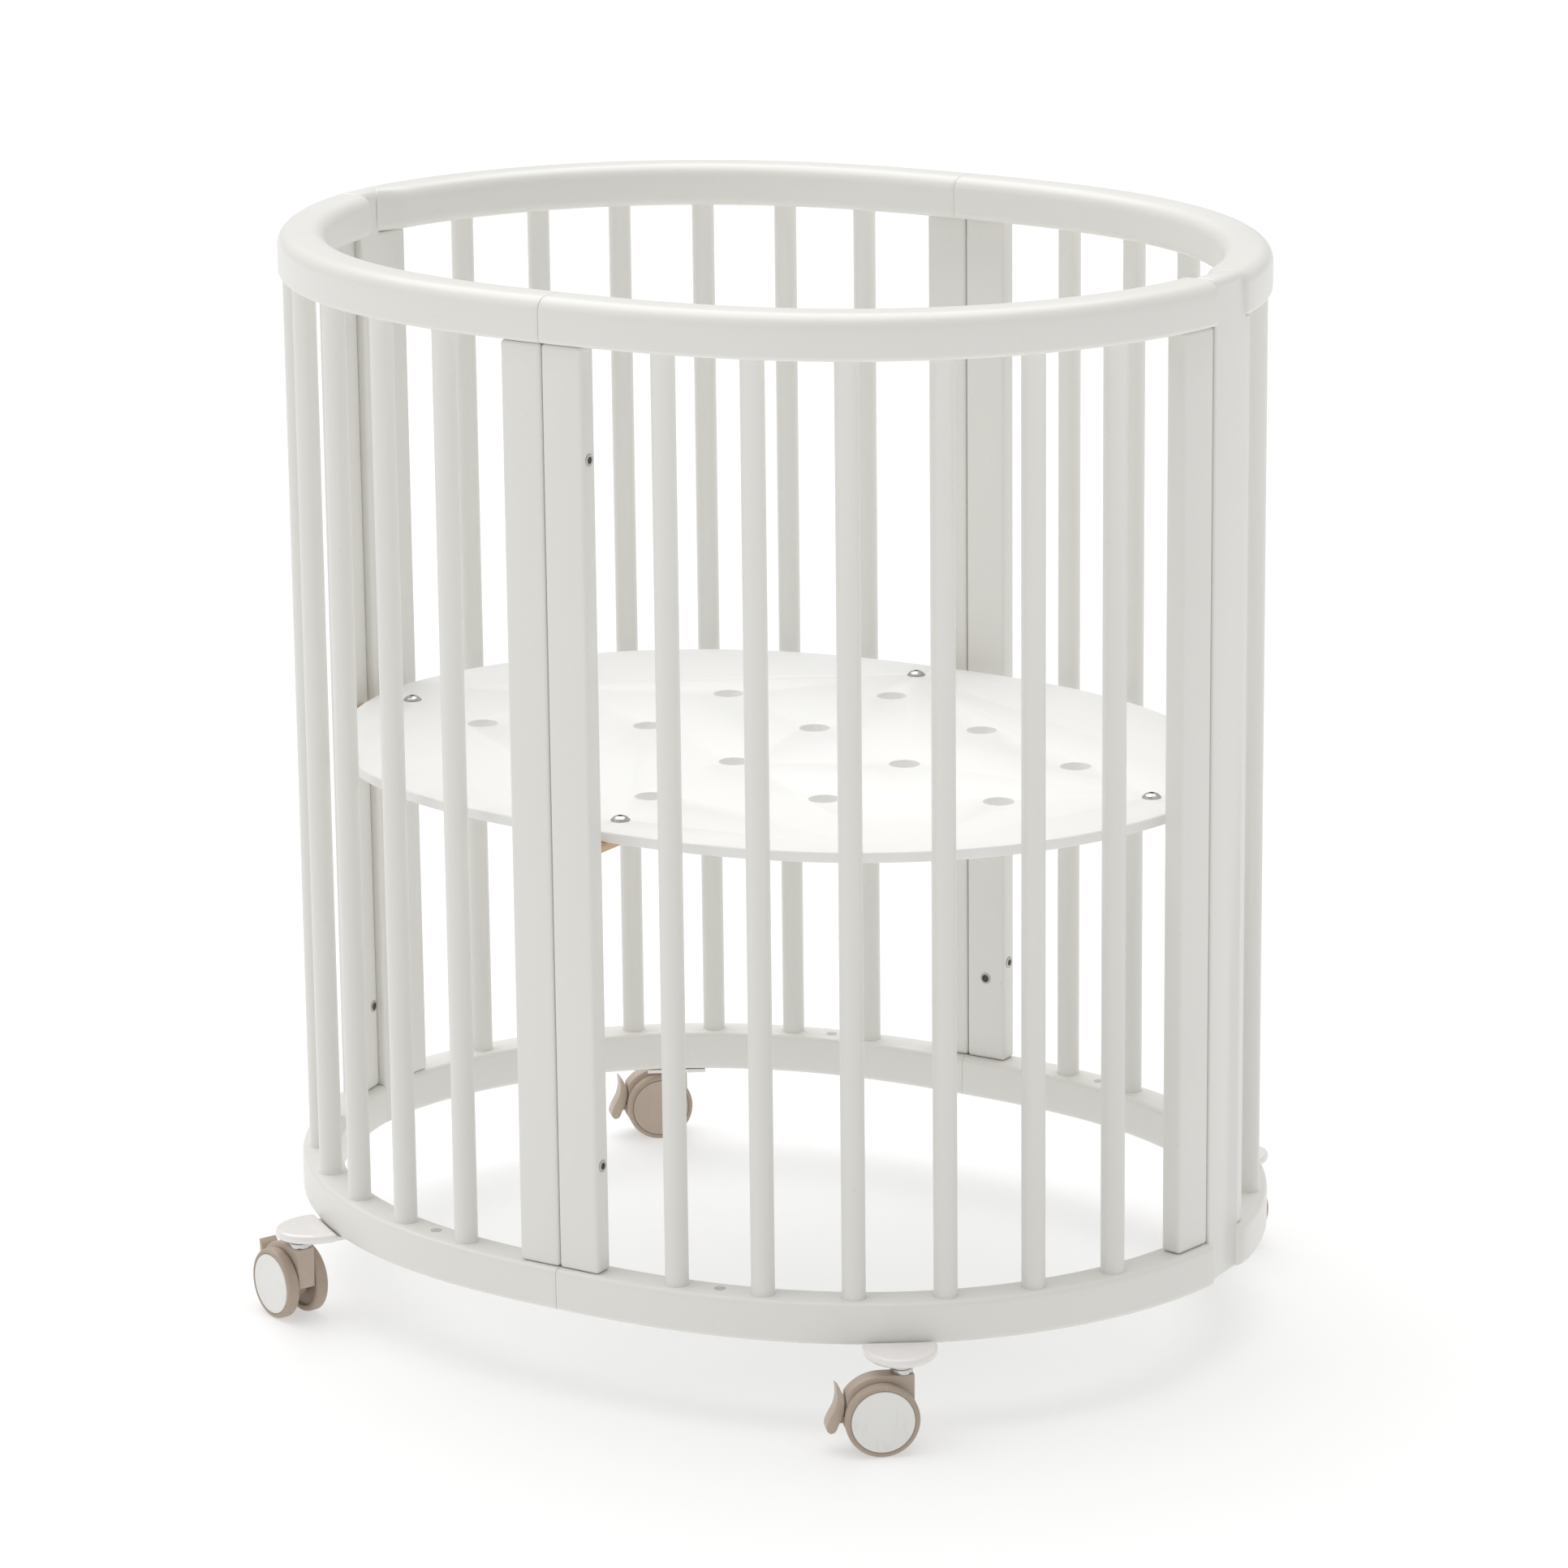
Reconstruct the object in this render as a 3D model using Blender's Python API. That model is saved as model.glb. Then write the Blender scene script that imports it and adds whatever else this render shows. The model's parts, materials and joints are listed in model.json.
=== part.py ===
"""Oval baby crib: four quarter panels bolted end to end, a vented mattress board and four braked casters.

Metres, +Z up. The origin is on the floor under the middle of the oval. +X runs along the long axis and the
front side faces -Y. Each quarter panel has a top rail, a bottom rail, two uprights and six round rods.
"""

import math

import bmesh
import bpy
from mathutils import Matrix, Vector

# The oval that the middles of the rods stand on: |x / a| ** p + |y / b| ** q = 1
OVAL_HALF_LENGTH = 0.411
OVAL_HALF_WIDTH = 0.320
LENGTH_POWER = 2.5
WIDTH_POWER = 1.8

# Gaps between pieces
JOINT_GAP = 0.0003  # between two pieces that touch
SEAM_GAP = 0.0008  # between the uprights of two panels
SOCKET_CLEARANCE = 0.0003  # round a rod in its socket
PIVOT_CLEARANCE = 0.0005  # round a pin, axle or stem that turns

# Rails: how far each stands outside and inside the oval, its height and the rounding of its edges
FLOOR_TO_BOTTOM_RAIL = 0.076
BOTTOM_RAIL_HEIGHT = 0.035
BOTTOM_RAIL_OUTSIDE = 0.0165
BOTTOM_RAIL_INSIDE = 0.016
BOTTOM_RAIL_ROUNDING = 0.005  # all four edges
RAIL_TO_RAIL = 0.749
TOP_RAIL_HEIGHT = 0.036
TOP_RAIL_OUTSIDE = 0.0135
TOP_RAIL_INSIDE = 0.026
TOP_RAIL_ROUNDING = 0.012  # both upper edges
TOP_RAIL_OUTER_CHAMFER = 0.004  # the lower edge outside the rods
TOP_RAIL_INNER_CHAMFER = 0.009  # the lower edge inside the rods

# Uprights and rods
STILE_WIDTH = 0.037
STILE_THICKNESS = 0.018
SIDE_STILE_OUTSET = 0.002  # how far the flat stiles at the middle of a side stand outside the oval
SEAM_OFFSET = 0.018  # how far the seams at the two ends lie towards the front
POST_WIDTH = 0.062
POST_OUTSIDE = 0.009
POST_INSIDE = 0.015
POST_NECK_OUTSIDE_WIDTH = 0.050  # beside a rail, where the rail is cut at a slant
POST_NECK_INSIDE_WIDTH = 0.0275
ROD_COUNT = 6
ROD_DIAMETER = 0.019
ROD_PITCH = 0.0724
FIRST_ROD_DISTANCE = 0.1017  # from the seam at the middle of a side, along the oval
SOCKET_DEPTH = 0.010

# Mattress board and the blocks that carry it
BOARD_TOP_HEIGHT = 0.467
BOARD_THICKNESS = 0.009
BOARD_INSET = 0.0245  # inside the oval
VENT_DIAMETER = 0.025
VENT_PITCH = 0.125
VENT_EDGE_MARGIN = 0.040
BLOCK_LENGTH = 0.066
BLOCK_WIDTH = 0.018
BLOCK_HEIGHT = 0.007
BOLT_FROM_OVAL = 0.060
BOLT_HOLE_DIAMETER = 0.0065

# Casters
WHEEL_DIAMETER = 0.0592
WHEEL_WIDTH = 0.0114
WHEEL_ROUNDING = 0.0035
CASTER_WIDTH = 0.0392  # over both wheels
AXLE_DIAMETER = 0.006
TRAIL = 0.0174  # from the swivel axis to the axle
STEM_DIAMETER = 0.010
STEM_LENGTH = 0.0055  # inside the bracket
COLLAR_DIAMETER = 0.0182
COLLAR_HEIGHT = 0.0085
HOOD_OVER_WHEEL = 0.0042
HOOD_END = 34.0  # degrees above the axle, on the side away from the stem
HOOD_STEPS = 8
FORK_FRONT = 0.0093  # from the swivel axis to the front of the fork
FORK_BELLY = 0.0145  # round the axle
CASTER_DISTANCE = 0.2812  # of the swivel axis from the seam at the middle of a side, along the oval
CASTER_FROM_OVAL = 0.0398
CASTER_HEADINGS = {"front_left": 158.0, "front_right": 220.0, "back_right": 250.0, "back_left": 224.0}

# Caster brackets: a plate under the bottom rail and a tongue with rounded edges outside it
BRACKET_WIDTH = 0.0596
BRACKET_UNDER_RAIL = 0.014
BRACKET_PLATE = 0.0035
BRACKET_TONGUE = 0.0078
BRACKET_TIP = 0.0203  # from the swivel axis to the tip
BRACKET_STRAIGHT = 0.0168  # from the swivel axis back to where the sides begin to curve
BRACKET_OVERLAP = 0.010  # how far the plate reaches into the tongue

# Brake levers: a bowed blade behind the wheels. Its points are (out from the axle, up from the axle).
LEVER_WIDTH = 0.016
LEVER_TIP = (0.0348, 0.0265)
LEVER_WAIST = (0.0328, 0.0090)
LEVER_TOE = (0.0402, -0.0095)
LEVER_TIP_THICKNESS = 0.0026
LEVER_TOE_THICKNESS = 0.0062
LEVER_STEPS = 8
LEVER_PIN = (0.0205, -0.0020)
LEVER_PIN_DIAMETER = 0.004
LEVER_LUG_RADIUS = 0.0045
LEVER_LUG_WIDTH = 0.008

# How finely the round shapes are divided
CORNER_STEPS = 2
RAIL_STEPS = 17
RAIL_SLANT_POWER = 8  # keeps the slant of a rail's end close to that end
ROUND_STEPS = 12
WHEEL_STEPS = 24
BOARD_STEPS = 64
OVAL_SAMPLES = 2000

# Heights and widths that follow from the sizes above
BOTTOM_RAIL_TOP = FLOOR_TO_BOTTOM_RAIL + BOTTOM_RAIL_HEIGHT
TOP_RAIL_UNDERSIDE = BOTTOM_RAIL_TOP + RAIL_TO_RAIL
TOP_RAIL_TOP = TOP_RAIL_UNDERSIDE + TOP_RAIL_HEIGHT
WHEEL_RADIUS = WHEEL_DIAMETER / 2
BODY_WIDTH = CASTER_WIDTH - 2 * WHEEL_WIDTH - 2 * PIVOT_CLEARANCE
BRACKET_UNDERSIDE = FLOOR_TO_BOTTOM_RAIL - JOINT_GAP - BRACKET_PLATE
COLLAR_TOP = BRACKET_UNDERSIDE - PIVOT_CLEARANCE
COLLAR_UNDERSIDE = COLLAR_TOP - COLLAR_HEIGHT

# Each quarter panel: the sign of its X and Y, and whether its end upright is a full-height post.
# board_upright is the upright that carries one of the board's blocks.
QUARTERS = {
    "front_right": {"x": 1, "y": -1, "has_post": False, "board_upright": "side"},
    "back_right": {"x": 1, "y": 1, "has_post": True, "board_upright": "end"},
    "back_left": {"x": -1, "y": 1, "has_post": True, "board_upright": "side"},
    "front_left": {"x": -1, "y": -1, "has_post": False, "board_upright": "end"},
}

COLOURS = {
    "white_paint": ((0.80, 0.79, 0.76, 1), 0.38, 0.0),
    "board_lacquer": ((0.80, 0.79, 0.77, 1), 0.45, 0.0),
    "bracket_plastic": ((0.82, 0.78, 0.76, 1), 0.18, 0.0),
    "taupe_plastic": ((0.40, 0.32, 0.25, 1), 0.45, 0.0),
    "wheel_plastic": ((0.42, 0.34, 0.27, 1), 0.50, 0.0),
}


def clear_scene():
    for item in list(bpy.data.objects):
        bpy.data.objects.remove(item, do_unlink=True)


def material(name):
    found = bpy.data.materials.get(name)
    if found:
        return found
    colour, roughness, metallic = COLOURS[name]
    made = bpy.data.materials.new(name)
    made.use_nodes = True
    shader = made.node_tree.nodes["Principled BSDF"]
    shader.inputs["Base Color"].default_value = colour
    shader.inputs["Roughness"].default_value = roughness
    shader.inputs["Metallic"].default_value = metallic
    return made


def oval_point(angle):
    """A point of the oval in the first quarter: angle 0 is on the Y axis and pi / 2 is on the X axis."""
    x = OVAL_HALF_LENGTH * math.sin(angle) ** (2 / LENGTH_POWER)
    y = OVAL_HALF_WIDTH * math.cos(angle) ** (2 / WIDTH_POWER)
    return Vector((x, y))


def measure_quarter():
    """Points of the first quarter from the Y axis to the X axis, each with its distance along the oval."""
    points = [oval_point(math.pi / 2 * step / OVAL_SAMPLES) for step in range(OVAL_SAMPLES)]
    points.append(Vector((OVAL_HALF_LENGTH, 0.0)))
    distances = [0.0]
    for before, after in zip(points, points[1:]):
        distances.append(distances[-1] + (after - before).length)
    return points, distances


OVAL_POINTS, OVAL_DISTANCES = measure_quarter()
QUARTER_LENGTH = OVAL_DISTANCES[-1]


def on_quarter(distance):
    """The point at a distance from the Y axis, which may run a little past the X axis."""
    if distance > QUARTER_LENGTH:
        mirrored = on_quarter(2 * QUARTER_LENGTH - distance)
        return Vector((mirrored.x, -mirrored.y))
    low, high = 0, len(OVAL_DISTANCES) - 1
    while high - low > 1:
        middle = (low + high) // 2
        if OVAL_DISTANCES[middle] > distance:
            high = middle
        else:
            low = middle
    share = (distance - OVAL_DISTANCES[low]) / (OVAL_DISTANCES[high] - OVAL_DISTANCES[low])
    return OVAL_POINTS[low].lerp(OVAL_POINTS[high], share)


def slope(length, half_extent, power):
    """How fast one term of the oval's equation changes."""
    return math.copysign(power / half_extent * abs(length / half_extent) ** (power - 1), length)


def outward(point):
    """The oval's outward direction at one of its points."""
    along = slope(point.x, OVAL_HALF_LENGTH, LENGTH_POWER)
    across = slope(point.y, OVAL_HALF_WIDTH, WIDTH_POWER)
    return Vector((along, across)).normalized()


def beside_oval(distance, offset):
    """The point that stands this far outside the oval, at a distance along the first quarter."""
    point = on_quarter(distance)
    return point + outward(point) * offset


def in_quarter(point, quarter):
    """A first-quarter point moved to its own quarter of the crib."""
    signs = QUARTERS[quarter]
    return Vector((point.x * signs["x"], point.y * signs["y"]))


def quarter_frame(quarter, distance, offset=0.0):
    """A matrix whose X points outwards from the oval and whose origin is on the floor."""
    origin = in_quarter(beside_oval(distance, offset), quarter)
    out = in_quarter(outward(on_quarter(distance)), quarter)
    turn = Matrix.Rotation(math.atan2(out.y, out.x), 4, "Z")
    return Matrix.Translation((origin.x, origin.y, 0.0)) @ turn


def end_of_panel(quarter):
    """The distance along the oval at which a quarter panel ends."""
    if QUARTERS[quarter]["has_post"]:
        return QUARTER_LENGTH + SEAM_OFFSET
    return QUARTER_LENGTH - SEAM_OFFSET


def rod_distances():
    return [FIRST_ROD_DISTANCE + index * ROD_PITCH for index in range(ROD_COUNT)]


def finish_mesh(shape, name, smooth=True):
    """A mesh from a bmesh, with its faces pointing out."""
    bmesh.ops.recalc_face_normals(shape, faces=shape.faces[:])
    mesh = bpy.data.meshes.new(name)
    shape.to_mesh(mesh)
    shape.free()
    if smooth:
        mesh.shade_smooth()
        mesh.set_sharp_from_angle(angle=math.radians(35))
    return mesh


def skin(rings, name, smooth=True):
    """A closed mesh through rings that all have the same number of corners."""
    shape = bmesh.new()
    corners = [[shape.verts.new(corner) for corner in ring] for ring in rings]
    count = len(corners[0])
    for ring, following in zip(corners, corners[1:]):
        for index in range(count):
            after = (index + 1) % count
            shape.faces.new((ring[index], ring[after], following[after], following[index]))
    shape.faces.new(corners[0])
    shape.faces.new(list(reversed(corners[-1])))
    return finish_mesh(shape, name, smooth)


def extruded(outline, low, high, name, smooth=True):
    """An outline of (x, y) points, extruded along Z."""
    rings = [[(x, y, height) for x, y in outline] for height in (low, high)]
    return skin(rings, name, smooth)


def sideways(outline, half_width, name):
    """An outline of (x, z) points, extruded along Y to both sides."""
    rings = [[(x, side * half_width, z) for x, z in outline] for side in (-1, 1)]
    return skin(rings, name)


def turned(profile, steps, name):
    """A solid turned about Z from (radius, height) points."""
    angles = [2 * math.pi * step / steps for step in range(steps)]
    rings = [[(r * math.cos(a), r * math.sin(a), z) for a in angles] for r, z in profile]
    return skin(rings, name)


def rod_mesh(radius, low, high, name, steps=ROUND_STEPS):
    return turned([(radius, low), (radius, high)], steps, name)


def box_mesh(low, high, name):
    """A box between two corners."""
    outline = [(low[0], low[1]), (high[0], low[1]), (high[0], high[1]), (low[0], high[1])]
    return extruded(outline, low[2], high[2], name, smooth=False)


def moved(mesh, matrix):
    mesh.transform(matrix)
    return mesh


def combined(first, joins=(), cuts=()):
    """One closed mesh: the first with others joined to it and then others cut from it."""
    target = bpy.data.objects.new(first.name, first)
    bpy.context.scene.collection.objects.link(target)
    helpers = []
    for operation, meshes in (("UNION", joins), ("DIFFERENCE", cuts)):
        for mesh in meshes:
            helper = bpy.data.objects.new(mesh.name, mesh)
            bpy.context.scene.collection.objects.link(helper)
            helpers.append(helper)
            modifier = target.modifiers.new(mesh.name, "BOOLEAN")
            modifier.operation = operation
            modifier.object = helper
    bpy.context.view_layer.update()
    graph = bpy.context.evaluated_depsgraph_get()
    result = bpy.data.meshes.new_from_object(target.evaluated_get(graph))
    for item in [target] + helpers:
        bpy.data.objects.remove(item, do_unlink=True)
    result.shade_smooth()
    result.set_sharp_from_angle(angle=math.radians(35))
    return result


def place(name, mesh, finish, matrix=None, parent=None):
    """The finished sub-part, in its own named object."""
    mesh.materials.clear()
    mesh.materials.append(material(finish))
    item = bpy.data.objects.new(name, mesh)
    bpy.context.scene.collection.objects.link(item)
    item.parent = parent
    if matrix is not None:
        item.matrix_local = matrix
    return item


def pivot(name, matrix, parent=None):
    """An empty on a joint's axis."""
    item = bpy.data.objects.new(name, None)
    bpy.context.scene.collection.objects.link(item)
    item.parent = parent
    item.matrix_local = matrix
    return item


def rounded_section(outside, inside, low, high, roundings):
    """Corners of a rounded rectangle as (offset from the oval, height), from the upper outer edge round."""
    section = []
    edges = ((outside, high), (-inside, high), (-inside, low), (outside, low))
    for (offset, height), rounding, start in zip(edges, roundings, (0, 90, 180, 270)):
        middle_x = offset - math.copysign(rounding, offset)
        middle_z = height - rounding if height == high else height + rounding
        for step in range(CORNER_STEPS + 1):
            angle = math.radians(start + 90 * step / CORNER_STEPS)
            section.append((middle_x + rounding * math.cos(angle), middle_z + rounding * math.sin(angle)))
    return section


def neck_width(offset):
    """How wide a post is beside a rail, at an offset from the oval."""
    share = (offset + POST_INSIDE) / (POST_OUTSIDE + POST_INSIDE)
    return POST_NECK_INSIDE_WIDTH + (POST_NECK_OUTSIDE_WIDTH - POST_NECK_INSIDE_WIDTH) * share


def rail_end(quarter, offset):
    """Where a rail stops: at the seam, or at a slant against the neck of the post."""
    if QUARTERS[quarter]["has_post"]:
        return end_of_panel(quarter) - neck_width(offset) - SEAM_GAP
    return end_of_panel(quarter) - JOINT_GAP / 2


def rail_end_point(quarter, offset):
    """Where a rail's end lies at an offset from the oval. Against a post it is flat, as the side of the neck is."""
    if not QUARTERS[quarter]["has_post"]:
        return beside_oval(rail_end(quarter, offset), offset)
    inner, outer = (beside_oval(rail_end(quarter, edge), edge) for edge in (-POST_INSIDE, POST_OUTSIDE))
    return inner.lerp(outer, (offset + POST_INSIDE) / (POST_OUTSIDE + POST_INSIDE))


def swept_rail(quarter, section, name):
    """A section that follows the oval from the middle of a side to the end of the panel."""
    start, square_end = JOINT_GAP / 2, rail_end(quarter, 0.0)
    rings = []
    for step in range(RAIL_STEPS + 1):
        share = step / RAIL_STEPS
        ring = []
        for offset, height in section:
            slant = (rail_end(quarter, offset) - square_end) * share**RAIL_SLANT_POWER
            distance = start + (square_end - start) * share + slant
            beside = beside_oval(distance, offset) if step < RAIL_STEPS else rail_end_point(quarter, offset)
            point = in_quarter(beside, quarter)
            ring.append((point.x, point.y, height))
        rings.append(ring)
    return skin(rings, name)


def rod_sockets(quarter, low, high, name):
    """Blind holes for one quarter's rods, all in one cutter."""
    cutter = bmesh.new()
    for distance in rod_distances():
        radius = ROD_DIAMETER / 2 + SOCKET_CLEARANCE
        hole = rod_mesh(radius, low, high, name)
        hole.transform(quarter_frame(quarter, distance))
        cutter.from_mesh(hole)
        bpy.data.meshes.remove(hole)
    return finish_mesh(cutter, name)


def make_rails(quarter):
    low, high = FLOOR_TO_BOTTOM_RAIL, BOTTOM_RAIL_TOP
    section = rounded_section(BOTTOM_RAIL_OUTSIDE, BOTTOM_RAIL_INSIDE, low, high, [BOTTOM_RAIL_ROUNDING] * 4)
    rail = swept_rail(quarter, section, "bottom_rail")
    sockets = rod_sockets(quarter, high - SOCKET_DEPTH, high + SOCKET_DEPTH, "bottom_sockets")
    place(quarter + "_bottom_rail", combined(rail, cuts=[sockets]), "white_paint")

    low, high = TOP_RAIL_UNDERSIDE, TOP_RAIL_TOP
    roundings = [TOP_RAIL_ROUNDING, TOP_RAIL_ROUNDING, TOP_RAIL_INNER_CHAMFER, TOP_RAIL_OUTER_CHAMFER]
    section = rounded_section(TOP_RAIL_OUTSIDE, TOP_RAIL_INSIDE, low, high, roundings)
    rail = swept_rail(quarter, section, "top_rail")
    sockets = rod_sockets(quarter, low - SOCKET_DEPTH, low + SOCKET_DEPTH, "top_sockets")
    place(quarter + "_top_rail", combined(rail, cuts=[sockets]), "white_paint")


def make_rods(quarter):
    """Rods that reach into both rails, with a gap at the bottom of each socket."""
    low = BOTTOM_RAIL_TOP - SOCKET_DEPTH + JOINT_GAP
    high = TOP_RAIL_UNDERSIDE + SOCKET_DEPTH - JOINT_GAP
    for number, distance in enumerate(rod_distances(), start=1):
        mesh = rod_mesh(ROD_DIAMETER / 2, 0.0, high - low, "rod")
        frame = quarter_frame(quarter, distance) @ Matrix.Translation((0, 0, low))
        place(f"{quarter}_rod_{number}", mesh, "white_paint", frame)


def board_block(inner_face, outset=0.0):
    """The wooden block under the board, in the frame of an upright that stands this far outside the oval."""
    top = BOARD_TOP_HEIGHT - BOARD_THICKNESS - JOINT_GAP
    low = (inner_face - BLOCK_LENGTH, -BLOCK_WIDTH / 2, top - BLOCK_HEIGHT)
    high = (inner_face + STILE_THICKNESS / 2, BLOCK_WIDTH / 2, top)
    block = box_mesh(low, high, "board_block")
    hole = rod_mesh(BOLT_HOLE_DIAMETER / 2, low[2] - JOINT_GAP, top + JOINT_GAP, "bolt_hole")
    hole.transform(Matrix.Translation((-BOLT_FROM_OVAL - outset, 0, 0)))
    return block, hole


def upright(outset, low, high, carries_board, name):
    """A straight upright in its own frame, where X points outwards."""
    half = STILE_THICKNESS / 2
    body = box_mesh((-half, -STILE_WIDTH / 2, low), (half, STILE_WIDTH / 2, high), name)
    if not carries_board:
        return body
    block, hole = board_block(-half, outset)
    return combined(body, joins=[block], cuts=[hole])


def side_frame(quarter):
    """The frame of the upright beside the seam at the middle of a side. Both uprights there are flush."""
    signs = QUARTERS[quarter]
    middle = signs["x"] * (SEAM_GAP / 2 + STILE_WIDTH / 2)
    turn = Matrix.Rotation(signs["y"] * math.pi / 2, 4, "Z")
    return Matrix.Translation((middle, signs["y"] * (OVAL_HALF_WIDTH + SIDE_STILE_OUTSET), 0)) @ turn


def end_stile_frame(quarter):
    """The frame of a stile at the end of a panel."""
    return quarter_frame(quarter, end_of_panel(quarter) - SEAM_GAP - STILE_WIDTH / 2)


def make_stile(quarter, place_name, frame, outset=0.0):
    low, high = BOTTOM_RAIL_TOP + JOINT_GAP, TOP_RAIL_UNDERSIDE - JOINT_GAP
    carries_board = QUARTERS[quarter]["board_upright"] == place_name
    name = f"{quarter}_{place_name}_stile"
    place(name, upright(outset, low, high, carries_board, name), "white_paint", frame)


def post_columns(quarter, offset):
    """Distances along the oval of a post's seam edge, of its neck's edge and of its far edge."""
    seam = end_of_panel(quarter) - JOINT_GAP / 2
    return seam, seam - neck_width(offset), seam - POST_WIDTH


def post_body(quarter, name):
    """A full-height post that follows the oval. It narrows to a neck beside each rail."""
    rows = (FLOOR_TO_BOTTOM_RAIL, BOTTOM_RAIL_TOP + JOINT_GAP, TOP_RAIL_UNDERSIDE - JOINT_GAP, TOP_RAIL_TOP)
    outline = [(0, 0), (1, 0), (1, 1), (2, 1), (2, 2), (1, 2), (1, 3), (0, 3), (0, 2), (0, 1)]
    shape = bmesh.new()
    sides = []
    for offset in (POST_OUTSIDE, -POST_INSIDE):
        columns = post_columns(quarter, offset)
        corners = {}
        for column, row in outline:
            point = in_quarter(beside_oval(columns[column], offset), quarter)
            corners[column, row] = shape.verts.new((point.x, point.y, rows[row]))
        for column, row in ((0, 0), (0, 1), (0, 2), (1, 1)):
            loop = ((column, row), (column + 1, row), (column + 1, row + 1), (column, row + 1))
            shape.faces.new([corners[key] for key in loop])
        sides.append(corners)
    outer, inner = sides
    for before, after in zip(outline, outline[1:] + outline[:1]):
        shape.faces.new((outer[before], outer[after], inner[after], inner[before]))
    return finish_mesh(shape, name, smooth=False)


def post_middle_frame(quarter):
    return quarter_frame(quarter, end_of_panel(quarter) - POST_WIDTH / 2)


def make_post(quarter):
    name = quarter + "_end_post"
    body = post_body(quarter, name)
    if QUARTERS[quarter]["board_upright"] == "end":
        block, hole = board_block(-POST_INSIDE)
        frame = post_middle_frame(quarter)
        body = combined(body, joins=[moved(block, frame)], cuts=[moved(hole, frame)])
    place(name, body, "white_paint")


def make_panel(quarter):
    make_rails(quarter)
    make_rods(quarter)
    make_stile(quarter, "side", side_frame(quarter), SIDE_STILE_OUTSET)
    if QUARTERS[quarter]["has_post"]:
        make_post(quarter)
    else:
        make_stile(quarter, "end", end_stile_frame(quarter))


def board_outline():
    """The oval, shrunk by the board's inset."""
    outline = []
    steps = BOARD_STEPS // 4
    for quarter in ("back_right", "back_left", "front_left", "front_right"):
        signs = QUARTERS[quarter]
        distances = [QUARTER_LENGTH * step / steps for step in range(steps)]
        if signs["x"] * signs["y"] > 0:
            distances = [QUARTER_LENGTH - distance for distance in distances]
        outline += [in_quarter(beside_oval(distance, -BOARD_INSET), quarter) for distance in distances]
    return [(point.x, point.y) for point in outline]


def inside_board(x, y):
    half_length = OVAL_HALF_LENGTH - BOARD_INSET - VENT_EDGE_MARGIN
    half_width = OVAL_HALF_WIDTH - BOARD_INSET - VENT_EDGE_MARGIN
    return abs(x / half_length) ** LENGTH_POWER + abs(y / half_width) ** WIDTH_POWER < 1


def vent_places():
    """Columns of holes, with every other column half a pitch further along."""
    reach = int(OVAL_HALF_LENGTH / VENT_PITCH) + 1
    places = []
    for column in range(-reach, reach + 1):
        for row in range(-reach, reach + 1):
            x = column * VENT_PITCH
            y = (row + (0 if column % 2 else 0.5)) * VENT_PITCH
            if inside_board(x, y):
                places.append((x, y))
    return places


def bolt_frames():
    """A frame on the oval beside each upright that carries the board."""
    frames = []
    for quarter, settings in QUARTERS.items():
        if settings["board_upright"] == "side":
            frames.append(side_frame(quarter) @ Matrix.Translation((-SIDE_STILE_OUTSET, 0, 0)))
        elif settings["has_post"]:
            frames.append(post_middle_frame(quarter))
        else:
            frames.append(end_stile_frame(quarter))
    return frames


def make_board():
    low, high = BOARD_TOP_HEIGHT - BOARD_THICKNESS, BOARD_TOP_HEIGHT
    board = extruded(board_outline(), low, high, "board")
    holes = bmesh.new()
    for x, y in vent_places():
        hole = rod_mesh(VENT_DIAMETER / 2, low - JOINT_GAP, high + JOINT_GAP, "vent", steps=16)
        hole.transform(Matrix.Translation((x, y, 0)))
        holes.from_mesh(hole)
        bpy.data.meshes.remove(hole)
    for frame in bolt_frames():
        hole = rod_mesh(BOLT_HOLE_DIAMETER / 2, low - JOINT_GAP, high + JOINT_GAP, "bolt_hole")
        hole.transform(frame @ Matrix.Translation((-BOLT_FROM_OVAL, 0, 0)))
        holes.from_mesh(hole)
        bpy.data.meshes.remove(hole)
    place("mattress_board", combined(board, cuts=[finish_mesh(holes, "holes")]), "board_lacquer")


def bracket_outline(start, inset=0.0):
    """The tongue's outline from above: straight sides, then an elliptic tip. X points outwards."""
    half = BRACKET_WIDTH / 2 - inset
    straight = CASTER_FROM_OVAL - BRACKET_STRAIGHT
    reach = BRACKET_STRAIGHT + BRACKET_TIP - inset
    outline = [(start, half), (start, -half)]
    for step in range(ROUND_STEPS + 1):
        angle = math.radians(-90 + 180 * step / ROUND_STEPS)
        outline.append((straight + reach * math.cos(angle), half * math.sin(angle)))
    return outline


def bracket_mesh():
    """A plate under the rail and a round-edged tongue outside it, with a blind hole for the stem."""
    low = BRACKET_UNDERSIDE
    start = BOTTOM_RAIL_OUTSIDE + JOINT_GAP
    rounding = BRACKET_TONGUE / 2
    rings = []
    for step in range(2 * CORNER_STEPS + 1):
        angle = math.radians(-90 + 90 * step / CORNER_STEPS)
        inset = rounding * (1 - math.cos(angle))
        height = low + rounding * (1 + math.sin(angle))
        rings.append([(x, y, height) for x, y in bracket_outline(start, inset)])
    tongue = skin(rings, "bracket_tongue")
    half = BRACKET_WIDTH / 2 - rounding
    plate_low = (-BRACKET_UNDER_RAIL, -half, low + JOINT_GAP)
    plate_high = (start + BRACKET_OVERLAP, half, low + BRACKET_PLATE)
    hole_radius = STEM_DIAMETER / 2 + PIVOT_CLEARANCE
    hole = rod_mesh(hole_radius, low - JOINT_GAP, low + STEM_LENGTH + PIVOT_CLEARANCE, "stem_hole")
    hole.transform(Matrix.Translation((CASTER_FROM_OVAL, 0, 0)))
    return combined(tongue, joins=[box_mesh(plate_low, plate_high, "bracket_plate")], cuts=[hole])


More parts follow.
